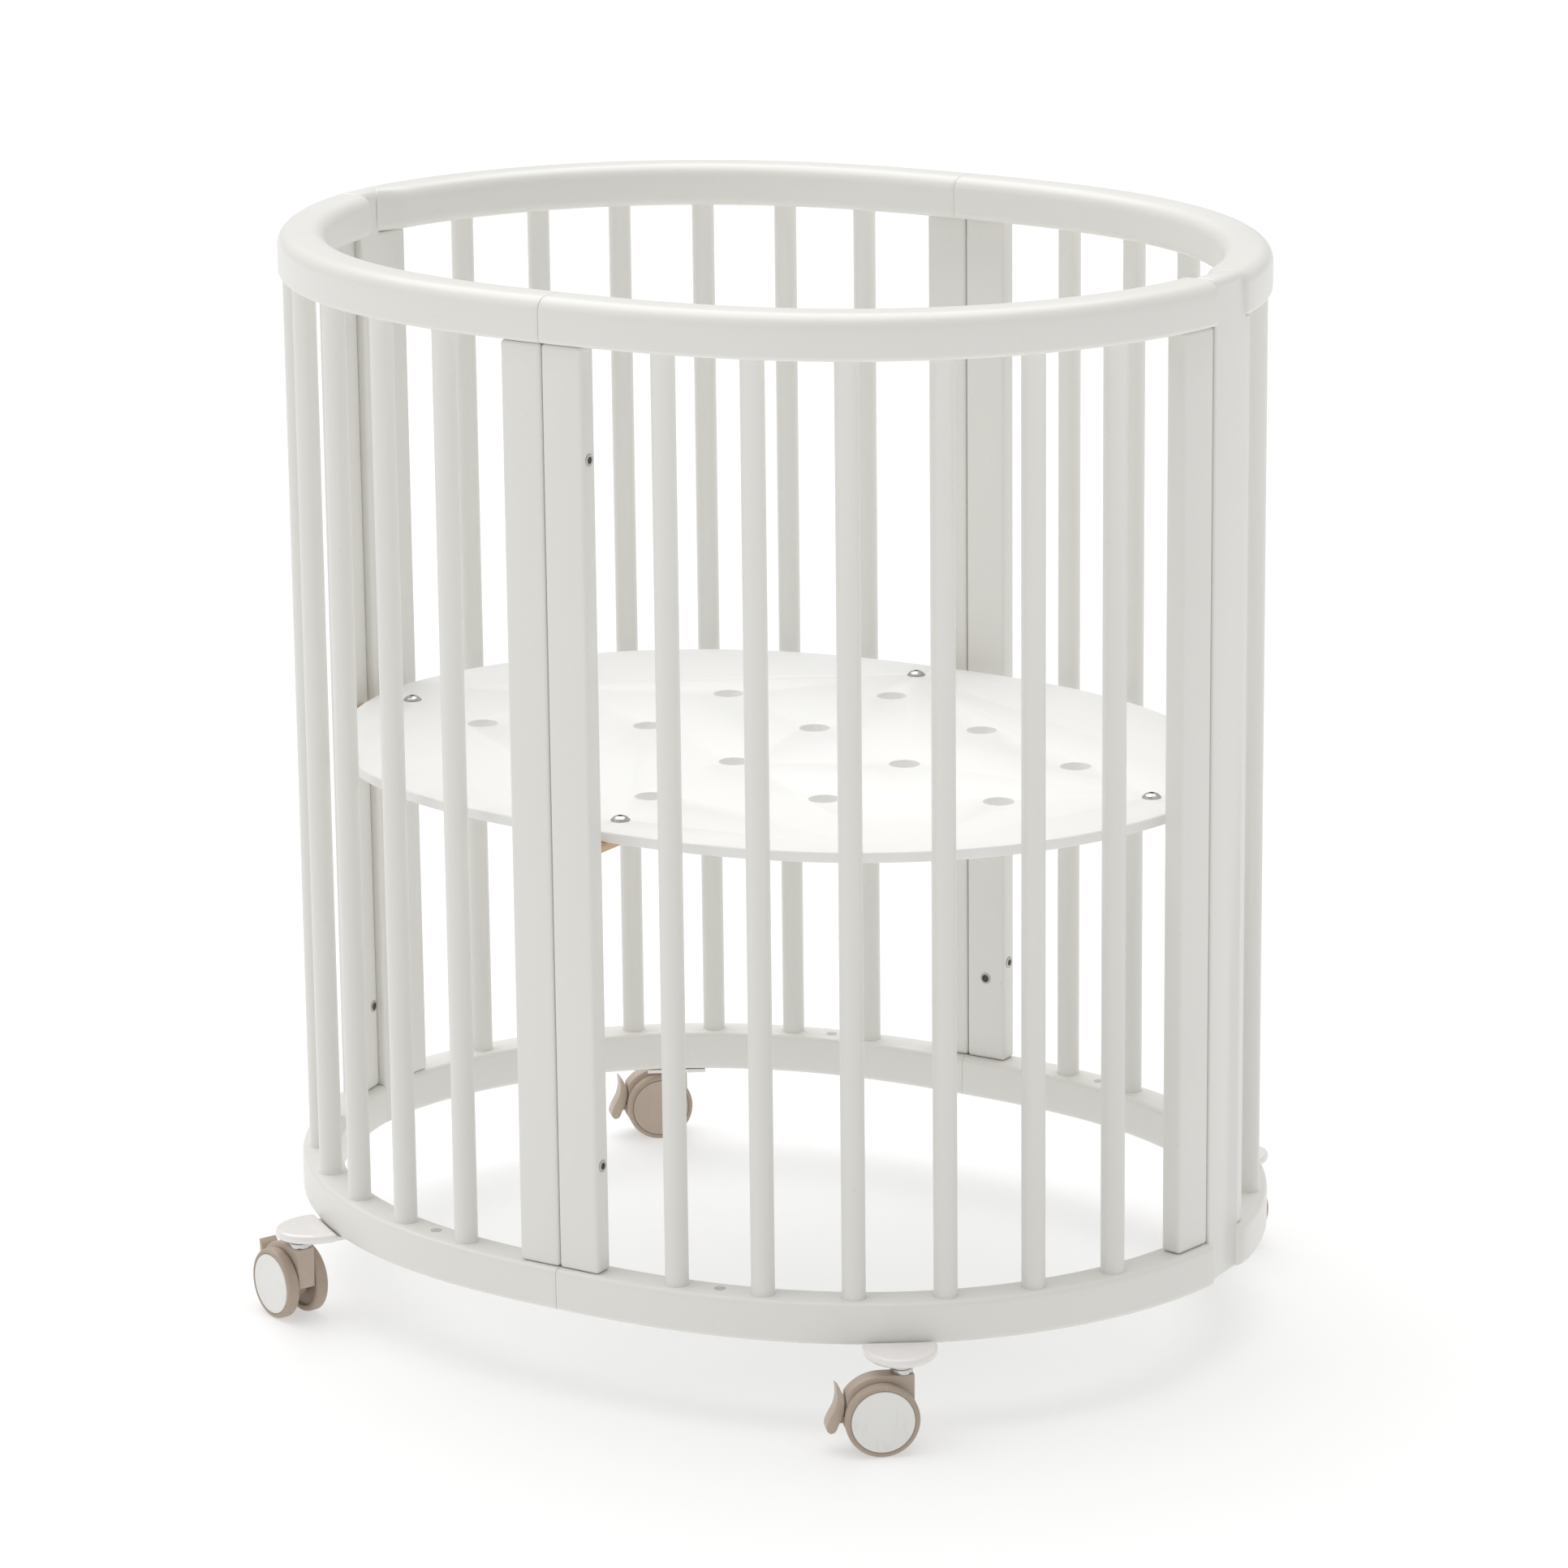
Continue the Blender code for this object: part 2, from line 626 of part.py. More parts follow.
def arc(centre, radius, start, end, steps):
    """Points on an arc, as (x, z) pairs."""
    points = []
    for step in range(steps + 1):
        angle = math.radians(start + (end - start) * step / steps)
        points.append((centre[0] + radius * math.cos(angle), centre[1] + radius * math.sin(angle)))
    return points


def lever_pivot():
    """The brake lever's pin as (x, z) in the fork's frame."""
    return (TRAIL + LEVER_PIN[0], WHEEL_RADIUS + LEVER_PIN[1])


def fork_outline():
    """The fork from the side, as (x, z): the hood, the straight front, the belly and the lever's lug."""
    axle = (TRAIL, WHEEL_RADIUS)
    hood = WHEEL_RADIUS + HOOD_OVER_WHEEL
    top = COLLAR_UNDERSIDE + JOINT_GAP
    hood_start = 90 + math.degrees(math.acos(min(1.0, (top - WHEEL_RADIUS) / hood)))
    outline = arc(axle, hood, HOOD_END, hood_start, HOOD_STEPS)
    outline += [(-FORK_FRONT, top), (-FORK_FRONT, WHEEL_RADIUS)]
    outline += arc(axle, FORK_BELLY, 200, 290, 4)
    outline += arc(lever_pivot(), LEVER_LUG_RADIUS + PIVOT_CLEARANCE, 260, 350, 4)
    return outline


def fork_mesh():
    """The body between the two wheels, in a frame on the swivel axis. +X points to the axle."""
    body = sideways(fork_outline(), BODY_WIDTH / 2, "fork")
    collar = rod_mesh(COLLAR_DIAMETER / 2, COLLAR_UNDERSIDE, COLLAR_TOP, "collar")
    stem = rod_mesh(STEM_DIAMETER / 2, COLLAR_TOP - JOINT_GAP, BRACKET_UNDERSIDE + STEM_LENGTH, "stem")
    across = Matrix.Rotation(math.pi / 2, 4, "X")
    axle_hole = rod_mesh(AXLE_DIAMETER / 2 + PIVOT_CLEARANCE, -BODY_WIDTH, BODY_WIDTH, "axle_hole")
    axle_hole.transform(Matrix.Translation((TRAIL, 0, WHEEL_RADIUS)) @ across)
    return combined(body, joins=[collar, stem], cuts=[axle_hole, lever_slot()])


def lever_slot():
    """The slot for the lever's lug. It leaves a cheek on each side."""
    pivot_x, pivot_z = lever_pivot()
    half = LEVER_LUG_WIDTH / 2 + PIVOT_CLEARANCE
    reach = LEVER_LUG_RADIUS + 3 * PIVOT_CLEARANCE
    low = (pivot_x - reach, -half, pivot_z - 3 * reach)
    high = (pivot_x + 3 * reach, half, pivot_z + reach)
    return box_mesh(low, high, "lever_slot")


def fork_with_pin():
    """The fork with the pin that the brake lever turns on."""
    pivot_x, pivot_z = lever_pivot()
    pin = rod_mesh(LEVER_PIN_DIAMETER / 2, -BODY_WIDTH / 2 + JOINT_GAP, BODY_WIDTH / 2 - JOINT_GAP, "pin", 8)
    pin.transform(Matrix.Translation((pivot_x, 0, pivot_z)) @ Matrix.Rotation(math.pi / 2, 4, "X"))
    return combined(fork_mesh(), joins=[pin])


def wheels_mesh():
    """Two wheels on one axle, turned about the axle, in a frame at its middle."""
    inner = CASTER_WIDTH / 2 - WHEEL_WIDTH
    outer = CASTER_WIDTH / 2
    edge = WHEEL_RADIUS - WHEEL_ROUNDING
    half = [
        (AXLE_DIAMETER / 2, inner),
        (edge, inner),
        (WHEEL_RADIUS, inner + WHEEL_ROUNDING),
        (WHEEL_RADIUS, outer - WHEEL_ROUNDING),
        (edge, outer),
    ]
    profile = [(radius, -height) for radius, height in reversed(half)] + half
    return moved(turned(profile, WHEEL_STEPS, "wheels"), Matrix.Rotation(math.pi / 2, 4, "X"))


def from_pin(point):
    """A point given from the axle, counted from the brake lever's pin instead."""
    return Vector(point) - Vector(LEVER_PIN)


def lever_blade():
    """The bowed blade, which bends through its waist and thickens towards its toe."""
    tip, waist, toe = from_pin(LEVER_TIP), from_pin(LEVER_WAIST), from_pin(LEVER_TOE)
    bend = waist * 2 - (tip + toe) / 2
    outer, inner = [], []
    for step in range(LEVER_STEPS + 1):
        share = step / LEVER_STEPS
        point = tip * (1 - share) ** 2 + bend * 2 * share * (1 - share) + toe * share**2
        slope = (bend - tip) * (1 - share) + (toe - bend) * share
        across = Vector((-slope.y, slope.x)).normalized()
        half = (LEVER_TIP_THICKNESS + (LEVER_TOE_THICKNESS - LEVER_TIP_THICKNESS) * share) / 2
        outer.append(tuple(point + across * half))
        inner.append(tuple(point - across * half))
    return sideways(outer + inner[::-1], LEVER_WIDTH / 2, "lever_blade")


def lever_mesh():
    """The brake lever in a frame on its pin: the blade, and a lug that a short link joins to it."""
    lug = sideways(arc((0, 0), LEVER_LUG_RADIUS, 0, 330, 11), LEVER_LUG_WIDTH / 2, "lever_lug")
    half = LEVER_LUG_WIDTH / 2
    rise = LEVER_LUG_RADIUS * 0.6
    low = (LEVER_LUG_RADIUS / 2, JOINT_GAP - half, -rise)
    high = (from_pin(LEVER_WAIST).x + LEVER_TIP_THICKNESS / 2, half - JOINT_GAP, rise)
    hole = rod_mesh(LEVER_PIN_DIAMETER / 2 + PIVOT_CLEARANCE, -LEVER_LUG_WIDTH, LEVER_LUG_WIDTH, "pin_hole", 8)
    hole.transform(Matrix.Rotation(math.pi / 2, 4, "X"))
    return combined(lug, joins=[box_mesh(low, high, "lever_link"), lever_blade()], cuts=[hole])


def make_caster(quarter, meshes):
    """One caster: its bracket, and the swivelling fork that carries the wheels and the brake lever."""
    bracket, fork, wheels, lever = (mesh.copy() for mesh in meshes)
    place(quarter + "_caster_bracket", bracket, "bracket_plastic", quarter_frame(quarter, CASTER_DISTANCE))
    seat = quarter_frame(quarter, CASTER_DISTANCE, CASTER_FROM_OVAL).to_translation()
    heading = Matrix.Rotation(math.radians(CASTER_HEADINGS[quarter]), 4, "Z")
    swivel = pivot(quarter + "_swivel_axis", Matrix.Translation(seat) @ heading)
    place(quarter + "_caster_fork", fork, "taupe_plastic", Matrix.Identity(4), swivel)
    axle = Matrix.Translation((TRAIL, 0, WHEEL_RADIUS))
    place(quarter + "_caster_wheels", wheels, "wheel_plastic", axle, swivel)
    pin_x, pin_z = lever_pivot()
    place(quarter + "_brake_lever", lever, "taupe_plastic", Matrix.Translation((pin_x, 0, pin_z)), swivel)


def make_casters():
    meshes = (bracket_mesh(), fork_with_pin(), wheels_mesh(), lever_mesh())
    for quarter in QUARTERS:
        make_caster(quarter, meshes)


def main():
    clear_scene()
    for quarter in QUARTERS:
        make_panel(quarter)
    make_board()
    make_casters()


main()
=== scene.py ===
import json
import math

import bpy
from mathutils import Matrix, Vector

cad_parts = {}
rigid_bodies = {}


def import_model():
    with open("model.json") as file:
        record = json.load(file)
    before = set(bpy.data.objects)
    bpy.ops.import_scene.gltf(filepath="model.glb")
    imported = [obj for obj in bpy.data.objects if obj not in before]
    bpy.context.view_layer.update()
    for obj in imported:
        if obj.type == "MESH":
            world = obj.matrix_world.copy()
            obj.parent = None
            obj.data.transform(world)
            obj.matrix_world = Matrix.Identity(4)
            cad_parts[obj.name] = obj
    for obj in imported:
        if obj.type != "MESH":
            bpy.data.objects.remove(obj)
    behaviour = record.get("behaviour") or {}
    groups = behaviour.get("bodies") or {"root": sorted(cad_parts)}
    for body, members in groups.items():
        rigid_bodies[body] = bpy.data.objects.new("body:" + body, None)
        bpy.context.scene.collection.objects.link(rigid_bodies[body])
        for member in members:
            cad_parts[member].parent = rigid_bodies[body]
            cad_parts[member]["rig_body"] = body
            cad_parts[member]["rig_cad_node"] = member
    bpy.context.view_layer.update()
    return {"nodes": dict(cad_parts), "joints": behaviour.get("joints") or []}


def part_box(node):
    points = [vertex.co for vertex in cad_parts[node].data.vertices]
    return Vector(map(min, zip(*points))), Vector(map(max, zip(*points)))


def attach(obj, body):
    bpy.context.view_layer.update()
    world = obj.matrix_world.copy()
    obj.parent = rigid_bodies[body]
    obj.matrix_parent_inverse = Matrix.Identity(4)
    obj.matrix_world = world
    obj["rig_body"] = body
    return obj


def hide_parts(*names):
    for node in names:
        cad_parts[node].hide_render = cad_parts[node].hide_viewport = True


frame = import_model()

print("frame loaded:", len(frame["nodes"]), "nodes")

quarters = {"front_right": (1, -1), "back_right": (1, 1), "back_left": (-1, 1), "front_left": (-1, -1)}
backQuarters = ("back_right", "back_left")


# small modelling helpers: each does what a hand would do in the viewport

def deselectAll():
    if bpy.context.mode != "OBJECT":
        bpy.ops.object.mode_set(mode="OBJECT")
    bpy.ops.object.select_all(action="DESELECT")


def pick(piece):
    deselectAll()
    piece.select_set(True)
    bpy.context.view_layer.objects.active = piece
    return piece


def named(name):
    piece = bpy.context.active_object
    piece.name = name
    piece.data.name = name
    return piece


def freeze(piece):
    # the place goes into the mesh, and the object stays at the origin
    pick(piece)
    bpy.ops.object.transform_apply(location=True, rotation=True, scale=True)
    return piece


def applyAll(piece):
    pick(piece)
    for modifier in list(piece.modifiers):
        bpy.ops.object.modifier_apply(modifier=modifier.name)
    return piece


def softEdges(piece, width, segments=3, angle=35):
    bevel = piece.modifiers.new("edges", "BEVEL")
    bevel.width = width
    bevel.segments = segments
    bevel.limit_method = "ANGLE"
    bevel.angle_limit = math.radians(angle)
    bevel.use_clamp_overlap = True
    bevel.harden_normals = False
    return applyAll(piece)


def smooth(piece, angle=32):
    pick(piece)
    bpy.ops.object.shade_smooth_by_angle(angle=math.radians(angle))
    return piece


def outwards(piece):
    pick(piece)
    bpy.ops.object.mode_set(mode="EDIT")
    bpy.ops.mesh.select_all(action="SELECT")
    bpy.ops.mesh.remove_doubles(threshold=0.00001)
    bpy.ops.mesh.normals_make_consistent(inside=False)
    bpy.ops.object.mode_set(mode="OBJECT")
    return piece


def turnedPiece(name, rings, sides=48):
    # a disc, then one extrusion and one resize for each ring of the profile: (radius, height)
    deselectAll()
    radius, height = rings[0]
    bpy.ops.mesh.primitive_circle_add(vertices=sides, radius=radius, fill_type="NGON",
                                      location=(0, 0, height))
    piece = freeze(named(name))
    bpy.ops.object.mode_set(mode="EDIT")
    bpy.ops.mesh.select_all(action="SELECT")
    for wide, high in rings[1:]:
        bpy.ops.mesh.extrude_region_move(TRANSFORM_OT_translate={"value": (0, 0, high - height)})
        share = wide / radius
        bpy.ops.transform.resize(value=(share, share, 1), center_override=(0, 0, high))
        radius, height = wide, high
    bpy.ops.object.mode_set(mode="OBJECT")
    return outwards(piece)


def flatPiece(name, outline, low, high, upright=False):
    # a disc whose rim is set on the outline, then extruded. An upright one is drawn in X and Z
    deselectAll()
    bpy.ops.mesh.primitive_circle_add(vertices=len(outline), radius=1, fill_type="NGON")
    piece = named(name)
    for corner, (across, along) in zip(piece.data.vertices, outline):
        corner.co = (across, low, along) if upright else (across, along, low)
    bpy.ops.object.mode_set(mode="EDIT")
    bpy.ops.mesh.select_all(action="SELECT")
    rise = (0, high - low, 0) if upright else (0, 0, high - low)
    bpy.ops.mesh.extrude_region_move(TRANSFORM_OT_translate={"value": rise})
    bpy.ops.object.mode_set(mode="OBJECT")
    return outwards(piece)


def blockPiece(name, low, high, rounding, segments=3):
    deselectAll()
    middle = [(a + b) / 2 for a, b in zip(low, high)]
    bpy.ops.mesh.primitive_cube_add(size=1, location=middle)
    piece = named(name)
    piece.scale = [b - a for a, b in zip(low, high)]
    freeze(piece)
    bpy.ops.object.mode_set(mode="EDIT")
    bpy.ops.mesh.select_all(action="SELECT")
    bpy.ops.mesh.bevel(offset=rounding, offset_type="OFFSET", segments=segments, affect="EDGES")
    bpy.ops.object.mode_set(mode="OBJECT")
    return piece


def drill(piece, cutters, how="DIFFERENCE"):
    for cutter in cutters:
        cut = piece.modifiers.new("cut", "BOOLEAN")
        cut.operation = how
        cut.object = cutter
        cut.solver = "EXACT"
    applyAll(piece)
    for cutter in cutters:
        bpy.data.objects.remove(cutter, do_unlink=True)
    return piece


def joined(name, pieces):
    deselectAll()
    for piece in pieces:
        piece.select_set(True)
    bpy.context.view_layer.objects.active = pieces[0]
    bpy.ops.object.join()
    return named(name)


def copyOf(piece, name, place):
    made = piece.copy()
    made.data = piece.data.copy()
    bpy.context.scene.collection.objects.link(made)
    made.name = name
    made.data.name = name
    made.data.transform(place)
    if place.determinant() < 0:
        made.data.flip_normals()
    return made


def drop(*pieces):
    for piece in pieces:
        bpy.data.objects.remove(piece, do_unlink=True)


def finish(piece, look, slot, body, *nodes):
    piece.data.materials.clear()
    piece.data.materials.append(look)
    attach(piece, body)
    if nodes:
        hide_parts(*nodes)
    return piece


# shader maths

class Sock:
    # wraps a socket so that shader maths reads as maths
    def __init__(self, tree, out):
        self.tree, self.out = tree, out

    def maths(self, kind, *others, clamp=False):
        node = self.tree.nodes.new("ShaderNodeMath")
        node.operation, node.use_clamp = kind, clamp
        for slotNumber, value in enumerate(others):
            if isinstance(value, Sock):
                self.tree.links.new(value.out, node.inputs[slotNumber])
            else:
                node.inputs[slotNumber].default_value = value
        return Sock(self.tree, node.outputs[0])

    def __add__(self, other): return self.maths("ADD", self, other)
    def __radd__(self, other): return self.maths("ADD", other, self)
    def __sub__(self, other): return self.maths("SUBTRACT", self, other)
    def __rsub__(self, other): return self.maths("SUBTRACT", other, self)
    def __mul__(self, other): return self.maths("MULTIPLY", self, other)
    def __rmul__(self, other): return self.maths("MULTIPLY", other, self)
    def clamped(self): return self.maths("ADD", self, 0.0, clamp=True)


class Finish:
    # one material being put together
    def __init__(self, name):
        self.material = bpy.data.materials.new(name)
        self.material.use_nodes = True
        self.tree = self.material.node_tree
        self.shader = self.tree.nodes["Principled BSDF"]
        self.place = self.make("TexCoord").node.outputs["Object"]

    def make(self, kind, settings=None, **links):
        node = self.tree.nodes.new("ShaderNode" + kind)
        for key, value in (settings or {}).items():
            setattr(node, key, value)
        for key, value in links.items():
            self.feed(node.inputs[key.replace("_", " ")], value)
        made = Sock(self.tree, node.outputs[0])
        made.node = node
        return made

    def feed(self, socket, value):
        if isinstance(value, Sock):
            self.tree.links.new(value.out, socket)
        elif isinstance(value, bpy.types.NodeSocket):
            self.tree.links.new(value, socket)
        else:
            socket.default_value = value

    def noise(self, scale, detail=3.0, roughness=0.55, stretch=(1, 1, 1)):
        mapped = self.make("Mapping", Vector=self.place, Scale=stretch)
        return self.make("TexNoise", Vector=mapped, Scale=scale, Detail=detail, Roughness=roughness)

    def blendColours(self, amount, first, second):
        node = self.tree.nodes.new("ShaderNodeMix")
        node.data_type = "RGBA"
        self.feed(node.inputs[0], amount)
        for socket, value in ((node.inputs[6], first), (node.inputs[7], second)):
            self.feed(socket, (*value, 1) if isinstance(value, tuple) else value)
        return Sock(self.tree, node.outputs[2])

    def bump(self, height, distance, strength=1.0, under=None):
        links = {"Height": height, "Distance": distance, "Strength": strength}
        if under is not None:
            links["Normal"] = under
        return self.make("Bump", **links)

    def set(self, **values):
        for key, value in values.items():
            self.feed(self.shader.inputs[key.replace("_", " ")], value)
        return self.material


def makePaint(name, look):
    # sprayed satin paint: faint orange peel, slow waviness, a few specks and uneven gloss
    made = Finish(name)
    drift = made.noise(look["driftScale"], 2.0)
    specks = (made.noise(look["speckScale"], 1.0) - look["speckFrom"]) * look["speckGain"]
    peel = made.noise(look["peelScale"], 2.0, 0.5)
    waves = made.noise(look["waveScale"], 1.0, stretch=look["waveStretch"])
    base = made.blendColours(drift.clamped(), look["shade"], look["light"])
    base = made.blendColours(specks.clamped() * look["speckDepth"], base, look["speck"])
    normal = made.bump(waves, look["waveDepth"], look["waveStrength"])
    normal = made.bump(peel, look["peelDepth"], look["peelStrength"], under=normal)
    rough = drift * look["roughSpread"] + look["rough"]
    return made.set(Base_Color=base, Roughness=rough, Normal=normal, Coat_Weight=look["coat"],
                    Coat_Roughness=0.22)


def makePlastic(name, look):
    # moulded plastic: fine texture, slow colour drift and light scuffs
    made = Finish(name)
    drift = made.noise(look["driftScale"], 2.0)
    grain = made.noise(look["grainScale"], 2.0, 0.6)
    scuffs = (made.noise(look["scuffScale"], 4.0, 0.7, stretch=(1, 1, 0.35)) - 0.56) * 6.0
    base = made.blendColours(drift.clamped(), look["shade"], look["light"])
    base = made.blendColours(scuffs.clamped() * look["scuffDepth"], base, look["scuff"])
    rough = scuffs.clamped() * look["scuffRough"] + drift * 0.05 + look["rough"]
    normal = made.bump(grain, look["grainDepth"], look["grainStrength"])
    return made.set(Base_Color=base, Roughness=rough, Normal=normal, Coat_Weight=look.get("coat", 0.0))


def makeBeech(name, look):
    # bare beech: long grain, fine dark flecks and open pores
    made = Finish(name)
    rings = made.noise(look["ringScale"], 3.0, 0.5, stretch=look["along"])
    flecks = (made.noise(look["fleckScale"], 1.0, stretch=look["fleckAlong"]) - 0.58) * 9.0
    base = made.blendColours(rings.clamped(), look["shade"], look["light"])
    base = made.blendColours(flecks.clamped() * 0.55, base, look["fleck"])
    normal = made.bump(flecks.clamped(), 0.00012, 0.5)
    return made.set(Base_Color=base, Roughness=rings * 0.15 + look["rough"], Normal=normal)


def makeSteel(name, look):
    # plated steel: near-mirror with fine turning marks and dull patches
    made = Finish(name)
    marks = made.noise(look["markScale"], 2.0, 0.6, stretch=(1, 1, 6))
    dull = made.noise(look["dullScale"], 3.0)
    base = made.blendColours(dull.clamped(), look["shade"], look["light"])
    normal = made.bump(marks, 0.00003, 0.35)
    return made.set(Base_Color=base, Metallic=1.0, Roughness=dull * 0.18 + look["rough"], Normal=normal)


looks = {
    "framePaint": {"shade": (0.80, 0.79, 0.75), "light": (0.84, 0.83, 0.79), "speck": (0.66, 0.63, 0.58),
                   "driftScale": 5.0, "speckScale": 260.0, "speckFrom": 0.74, "speckGain": 9.0,
                   "speckDepth": 0.35,
                   "peelScale": 900.0, "peelDepth": 0.00009, "peelStrength": 0.28,
                   "waveScale": 26.0, "waveStretch": (1, 1, 0.3), "waveDepth": 0.0008, "waveStrength": 0.16,
                   "rough": 0.31, "roughSpread": 0.14, "coat": 0.18},
    "boardPaint": {"shade": (0.90, 0.895, 0.88), "light": (0.94, 0.935, 0.925), "speck": (0.76, 0.74, 0.70),
                   "driftScale": 4.0, "speckScale": 240.0, "speckFrom": 0.75, "speckGain": 9.0,
                   "speckDepth": 0.3,
                   "peelScale": 700.0, "peelDepth": 0.0001, "peelStrength": 0.3,
                   "waveScale": 12.0, "waveStretch": (0.3, 1, 1), "waveDepth": 0.0007, "waveStrength": 0.15,
                   "rough": 0.40, "roughSpread": 0.12, "coat": 0.05},
    "bracketShell": {"shade": (0.87, 0.84, 0.82), "light": (0.91, 0.885, 0.87), "scuff": (0.76, 0.72, 0.69),
                     "driftScale": 30.0, "grainScale": 500.0, "grainDepth": 0.00006, "grainStrength": 0.2,
                     "scuffScale": 60.0, "scuffDepth": 0.25, "scuffRough": 0.2, "rough": 0.12, "coat": 0.6},
    "taupe": {"shade": (0.49, 0.40, 0.325), "light": (0.56, 0.465, 0.38), "scuff": (0.64, 0.56, 0.49),
              "driftScale": 40.0, "grainScale": 1500.0, "grainDepth": 0.00008, "grainStrength": 0.35,
              "scuffScale": 90.0, "scuffDepth": 0.4, "scuffRough": 0.12, "rough": 0.36},
    "tread": {"shade": (0.41, 0.33, 0.26), "light": (0.48, 0.39, 0.315), "scuff": (0.58, 0.52, 0.45),
              "driftScale": 50.0, "grainScale": 1200.0, "grainDepth": 0.00012, "grainStrength": 0.5,
              "scuffScale": 70.0, "scuffDepth": 0.5, "scuffRough": 0.15, "rough": 0.48},
    "whiteCap": {"shade": (0.85, 0.845, 0.81), "light": (0.89, 0.885, 0.855), "scuff": (0.72, 0.69, 0.64),
                 "driftScale": 40.0, "grainScale": 1100.0, "grainDepth": 0.00007, "grainStrength": 0.3,
                 "scuffScale": 80.0, "scuffDepth": 0.35, "scuffRough": 0.15, "rough": 0.32},
    # painted shade: near-black plastic for the discs at the bottoms of the sockets, standing in for the shadow inside
    # them
    "paintedSocketShadow": {"shade": (0.05, 0.042, 0.035), "light": (0.08, 0.068, 0.056), "scuff": (0.16, 0.14, 0.12),
                "driftScale": 60.0, "grainScale": 900.0, "grainDepth": 0.0001, "grainStrength": 0.4,
                "scuffScale": 80.0, "scuffDepth": 0.3, "scuffRough": 0.1, "rough": 0.6},
    "plug": {"shade": (0.50, 0.49, 0.46), "light": (0.58, 0.57, 0.54), "scuff": (0.40, 0.38, 0.35),
             "driftScale": 90.0, "grainScale": 800.0, "grainDepth": 0.0001, "grainStrength": 0.4,
             "scuffScale": 120.0, "scuffDepth": 0.4, "scuffRough": 0.1, "rough": 0.5},
    "beech": {"shade": (0.60, 0.42, 0.26), "light": (0.76, 0.58, 0.40), "fleck": (0.36, 0.22, 0.12),
              "ringScale": 40.0, "along": (1, 0.25, 1.4), "fleckScale": 420.0, "fleckAlong": (1, 0.12, 1),
              "rough": 0.5},
    "brightSteel": {"shade": (0.50, 0.50, 0.49), "light": (0.74, 0.74, 0.73), "markScale": 700.0,
                    "dullScale": 120.0, "rough": 0.10},
    "zinc": {"shade": (0.40, 0.40, 0.38), "light": (0.60, 0.59, 0.56), "markScale": 500.0,
             "dullScale": 160.0, "rough": 0.28},
}

framePaint = makePaint("frame_paint", looks["framePaint"])
boardPaint = makePaint("board_paint", looks["boardPaint"])
bracketShell = makePlastic("bracket_shell", looks["bracketShell"])
taupePlastic = makePlastic("taupe_plastic", looks["taupe"])
treadPlastic = makePlastic("tread_plastic", looks["tread"])
capPlastic = makePlastic("cap_plastic", looks["whiteCap"])
# painted shade for the socket bottoms
paintedShadowPlastic = makePlastic("painted_socket_shadow", looks["paintedSocketShadow"])
plugGrey = makePlastic("plug_grey", looks["plug"])
bareBeech = makeBeech("bare_beech", looks["beech"])
brightSteel = makeSteel("bright_steel", looks["brightSteel"])
zincPlate = makeSteel("zinc_plate", looks["zinc"])
print("finishes mixed")


# the oval that the rods stand on, with its size taken from the rails

oval = {"lengthPower": 2.5, "widthPower": 1.8, "samples": 2000, "railOutside": 0.0165, "seamOffset": 0.018}
railLow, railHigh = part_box("front_right_bottom_rail")
topLow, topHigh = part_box("front_right_top_rail")
halfWide = -railLow.y - oval["railOutside"]
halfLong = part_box("back_right_end_post")[1].x - 0.009
rodRadius = 0.0095


def ovalPoint(angle):
    across = halfLong * math.sin(angle) ** (2 / oval["lengthPower"])
    along = halfWide * math.cos(angle) ** (2 / oval["widthPower"])
    return Vector((across, along))


def measureOval():
    points = [ovalPoint(math.pi / 2 * step / oval["samples"]) for step in range(oval["samples"])]
    points.append(Vector((halfLong, 0.0)))
    run = [0.0]
    for before, after in zip(points, points[1:]):
        run.append(run[-1] + (after - before).length)
    return points, run


ovalPoints, ovalRun = measureOval()
quarterRun = ovalRun[-1]


def onOval(run):
    # the point this far along the first quarter, from the middle of a side. It may pass either end a little
    if run > quarterRun:
        mirrored = onOval(2 * quarterRun - run)
        return Vector((mirrored.x, -mirrored.y))
    if run < 0:
        mirrored = onOval(-run)
        return Vector((-mirrored.x, mirrored.y))
    low, high = 0, len(ovalRun) - 1
    while high - low > 1:
        middle = (low + high) // 2
        if ovalRun[middle] > run:
            high = middle
        else:
            low = middle
    share = (run - ovalRun[low]) / (ovalRun[high] - ovalRun[low])
    return ovalPoints[low].lerp(ovalPoints[high], share)


def outAt(run):
    point = onOval(run)
    p, q = oval["lengthPower"], oval["widthPower"]
    across = math.copysign(p / halfLong * abs(point.x / halfLong) ** (p - 1), point.x)
    along = math.copysign(q / halfWide * abs(point.y / halfWide) ** (q - 1), point.y)
    return Vector((across, along)).normalized()


def inQuarter(vector, quarter):
    signs = quarters[quarter]
    return Vector((vector.x * signs[0], vector.y * signs[1], 0))


def placeAt(quarter, run, offset=0.0):
    # a frame on the floor whose X points outwards from the oval
    spot = inQuarter(onOval(run) + outAt(run) * offset, quarter)
    out = inQuarter(outAt(run), quarter)
    return Matrix.Translation(spot) @ Matrix.Rotation(math.atan2(out.y, out.x), 4, "Z")


# rails: a rounded section drawn along the oval, then trimmed to the panel's ends

rails = {"bottom": {"outside": 0.0165, "inside": 0.016, "rounding": (0.005, 0.005, 0.005, 0.005)},
         "top": {"outside": 0.0135, "inside": 0.026, "rounding": (0.012, 0.012, 0.009, 0.004)},
         "pathStep": 0.004, "overrun": 0.02, "cornerSteps": 7, "halfGap": 0.00015, "edgeRounding": 0.0007,
         "intoPost": 0.0025, "postEndRounding": 0.0016, "seamEndRounding": 0.0022, "endSteps": 4,
         "flareFrom": 0.064, "flareTo": 0.024,
         "neckOutside": 0.050, "neckInside": 0.0275, "postOutside": 0.009, "postInside": 0.015}


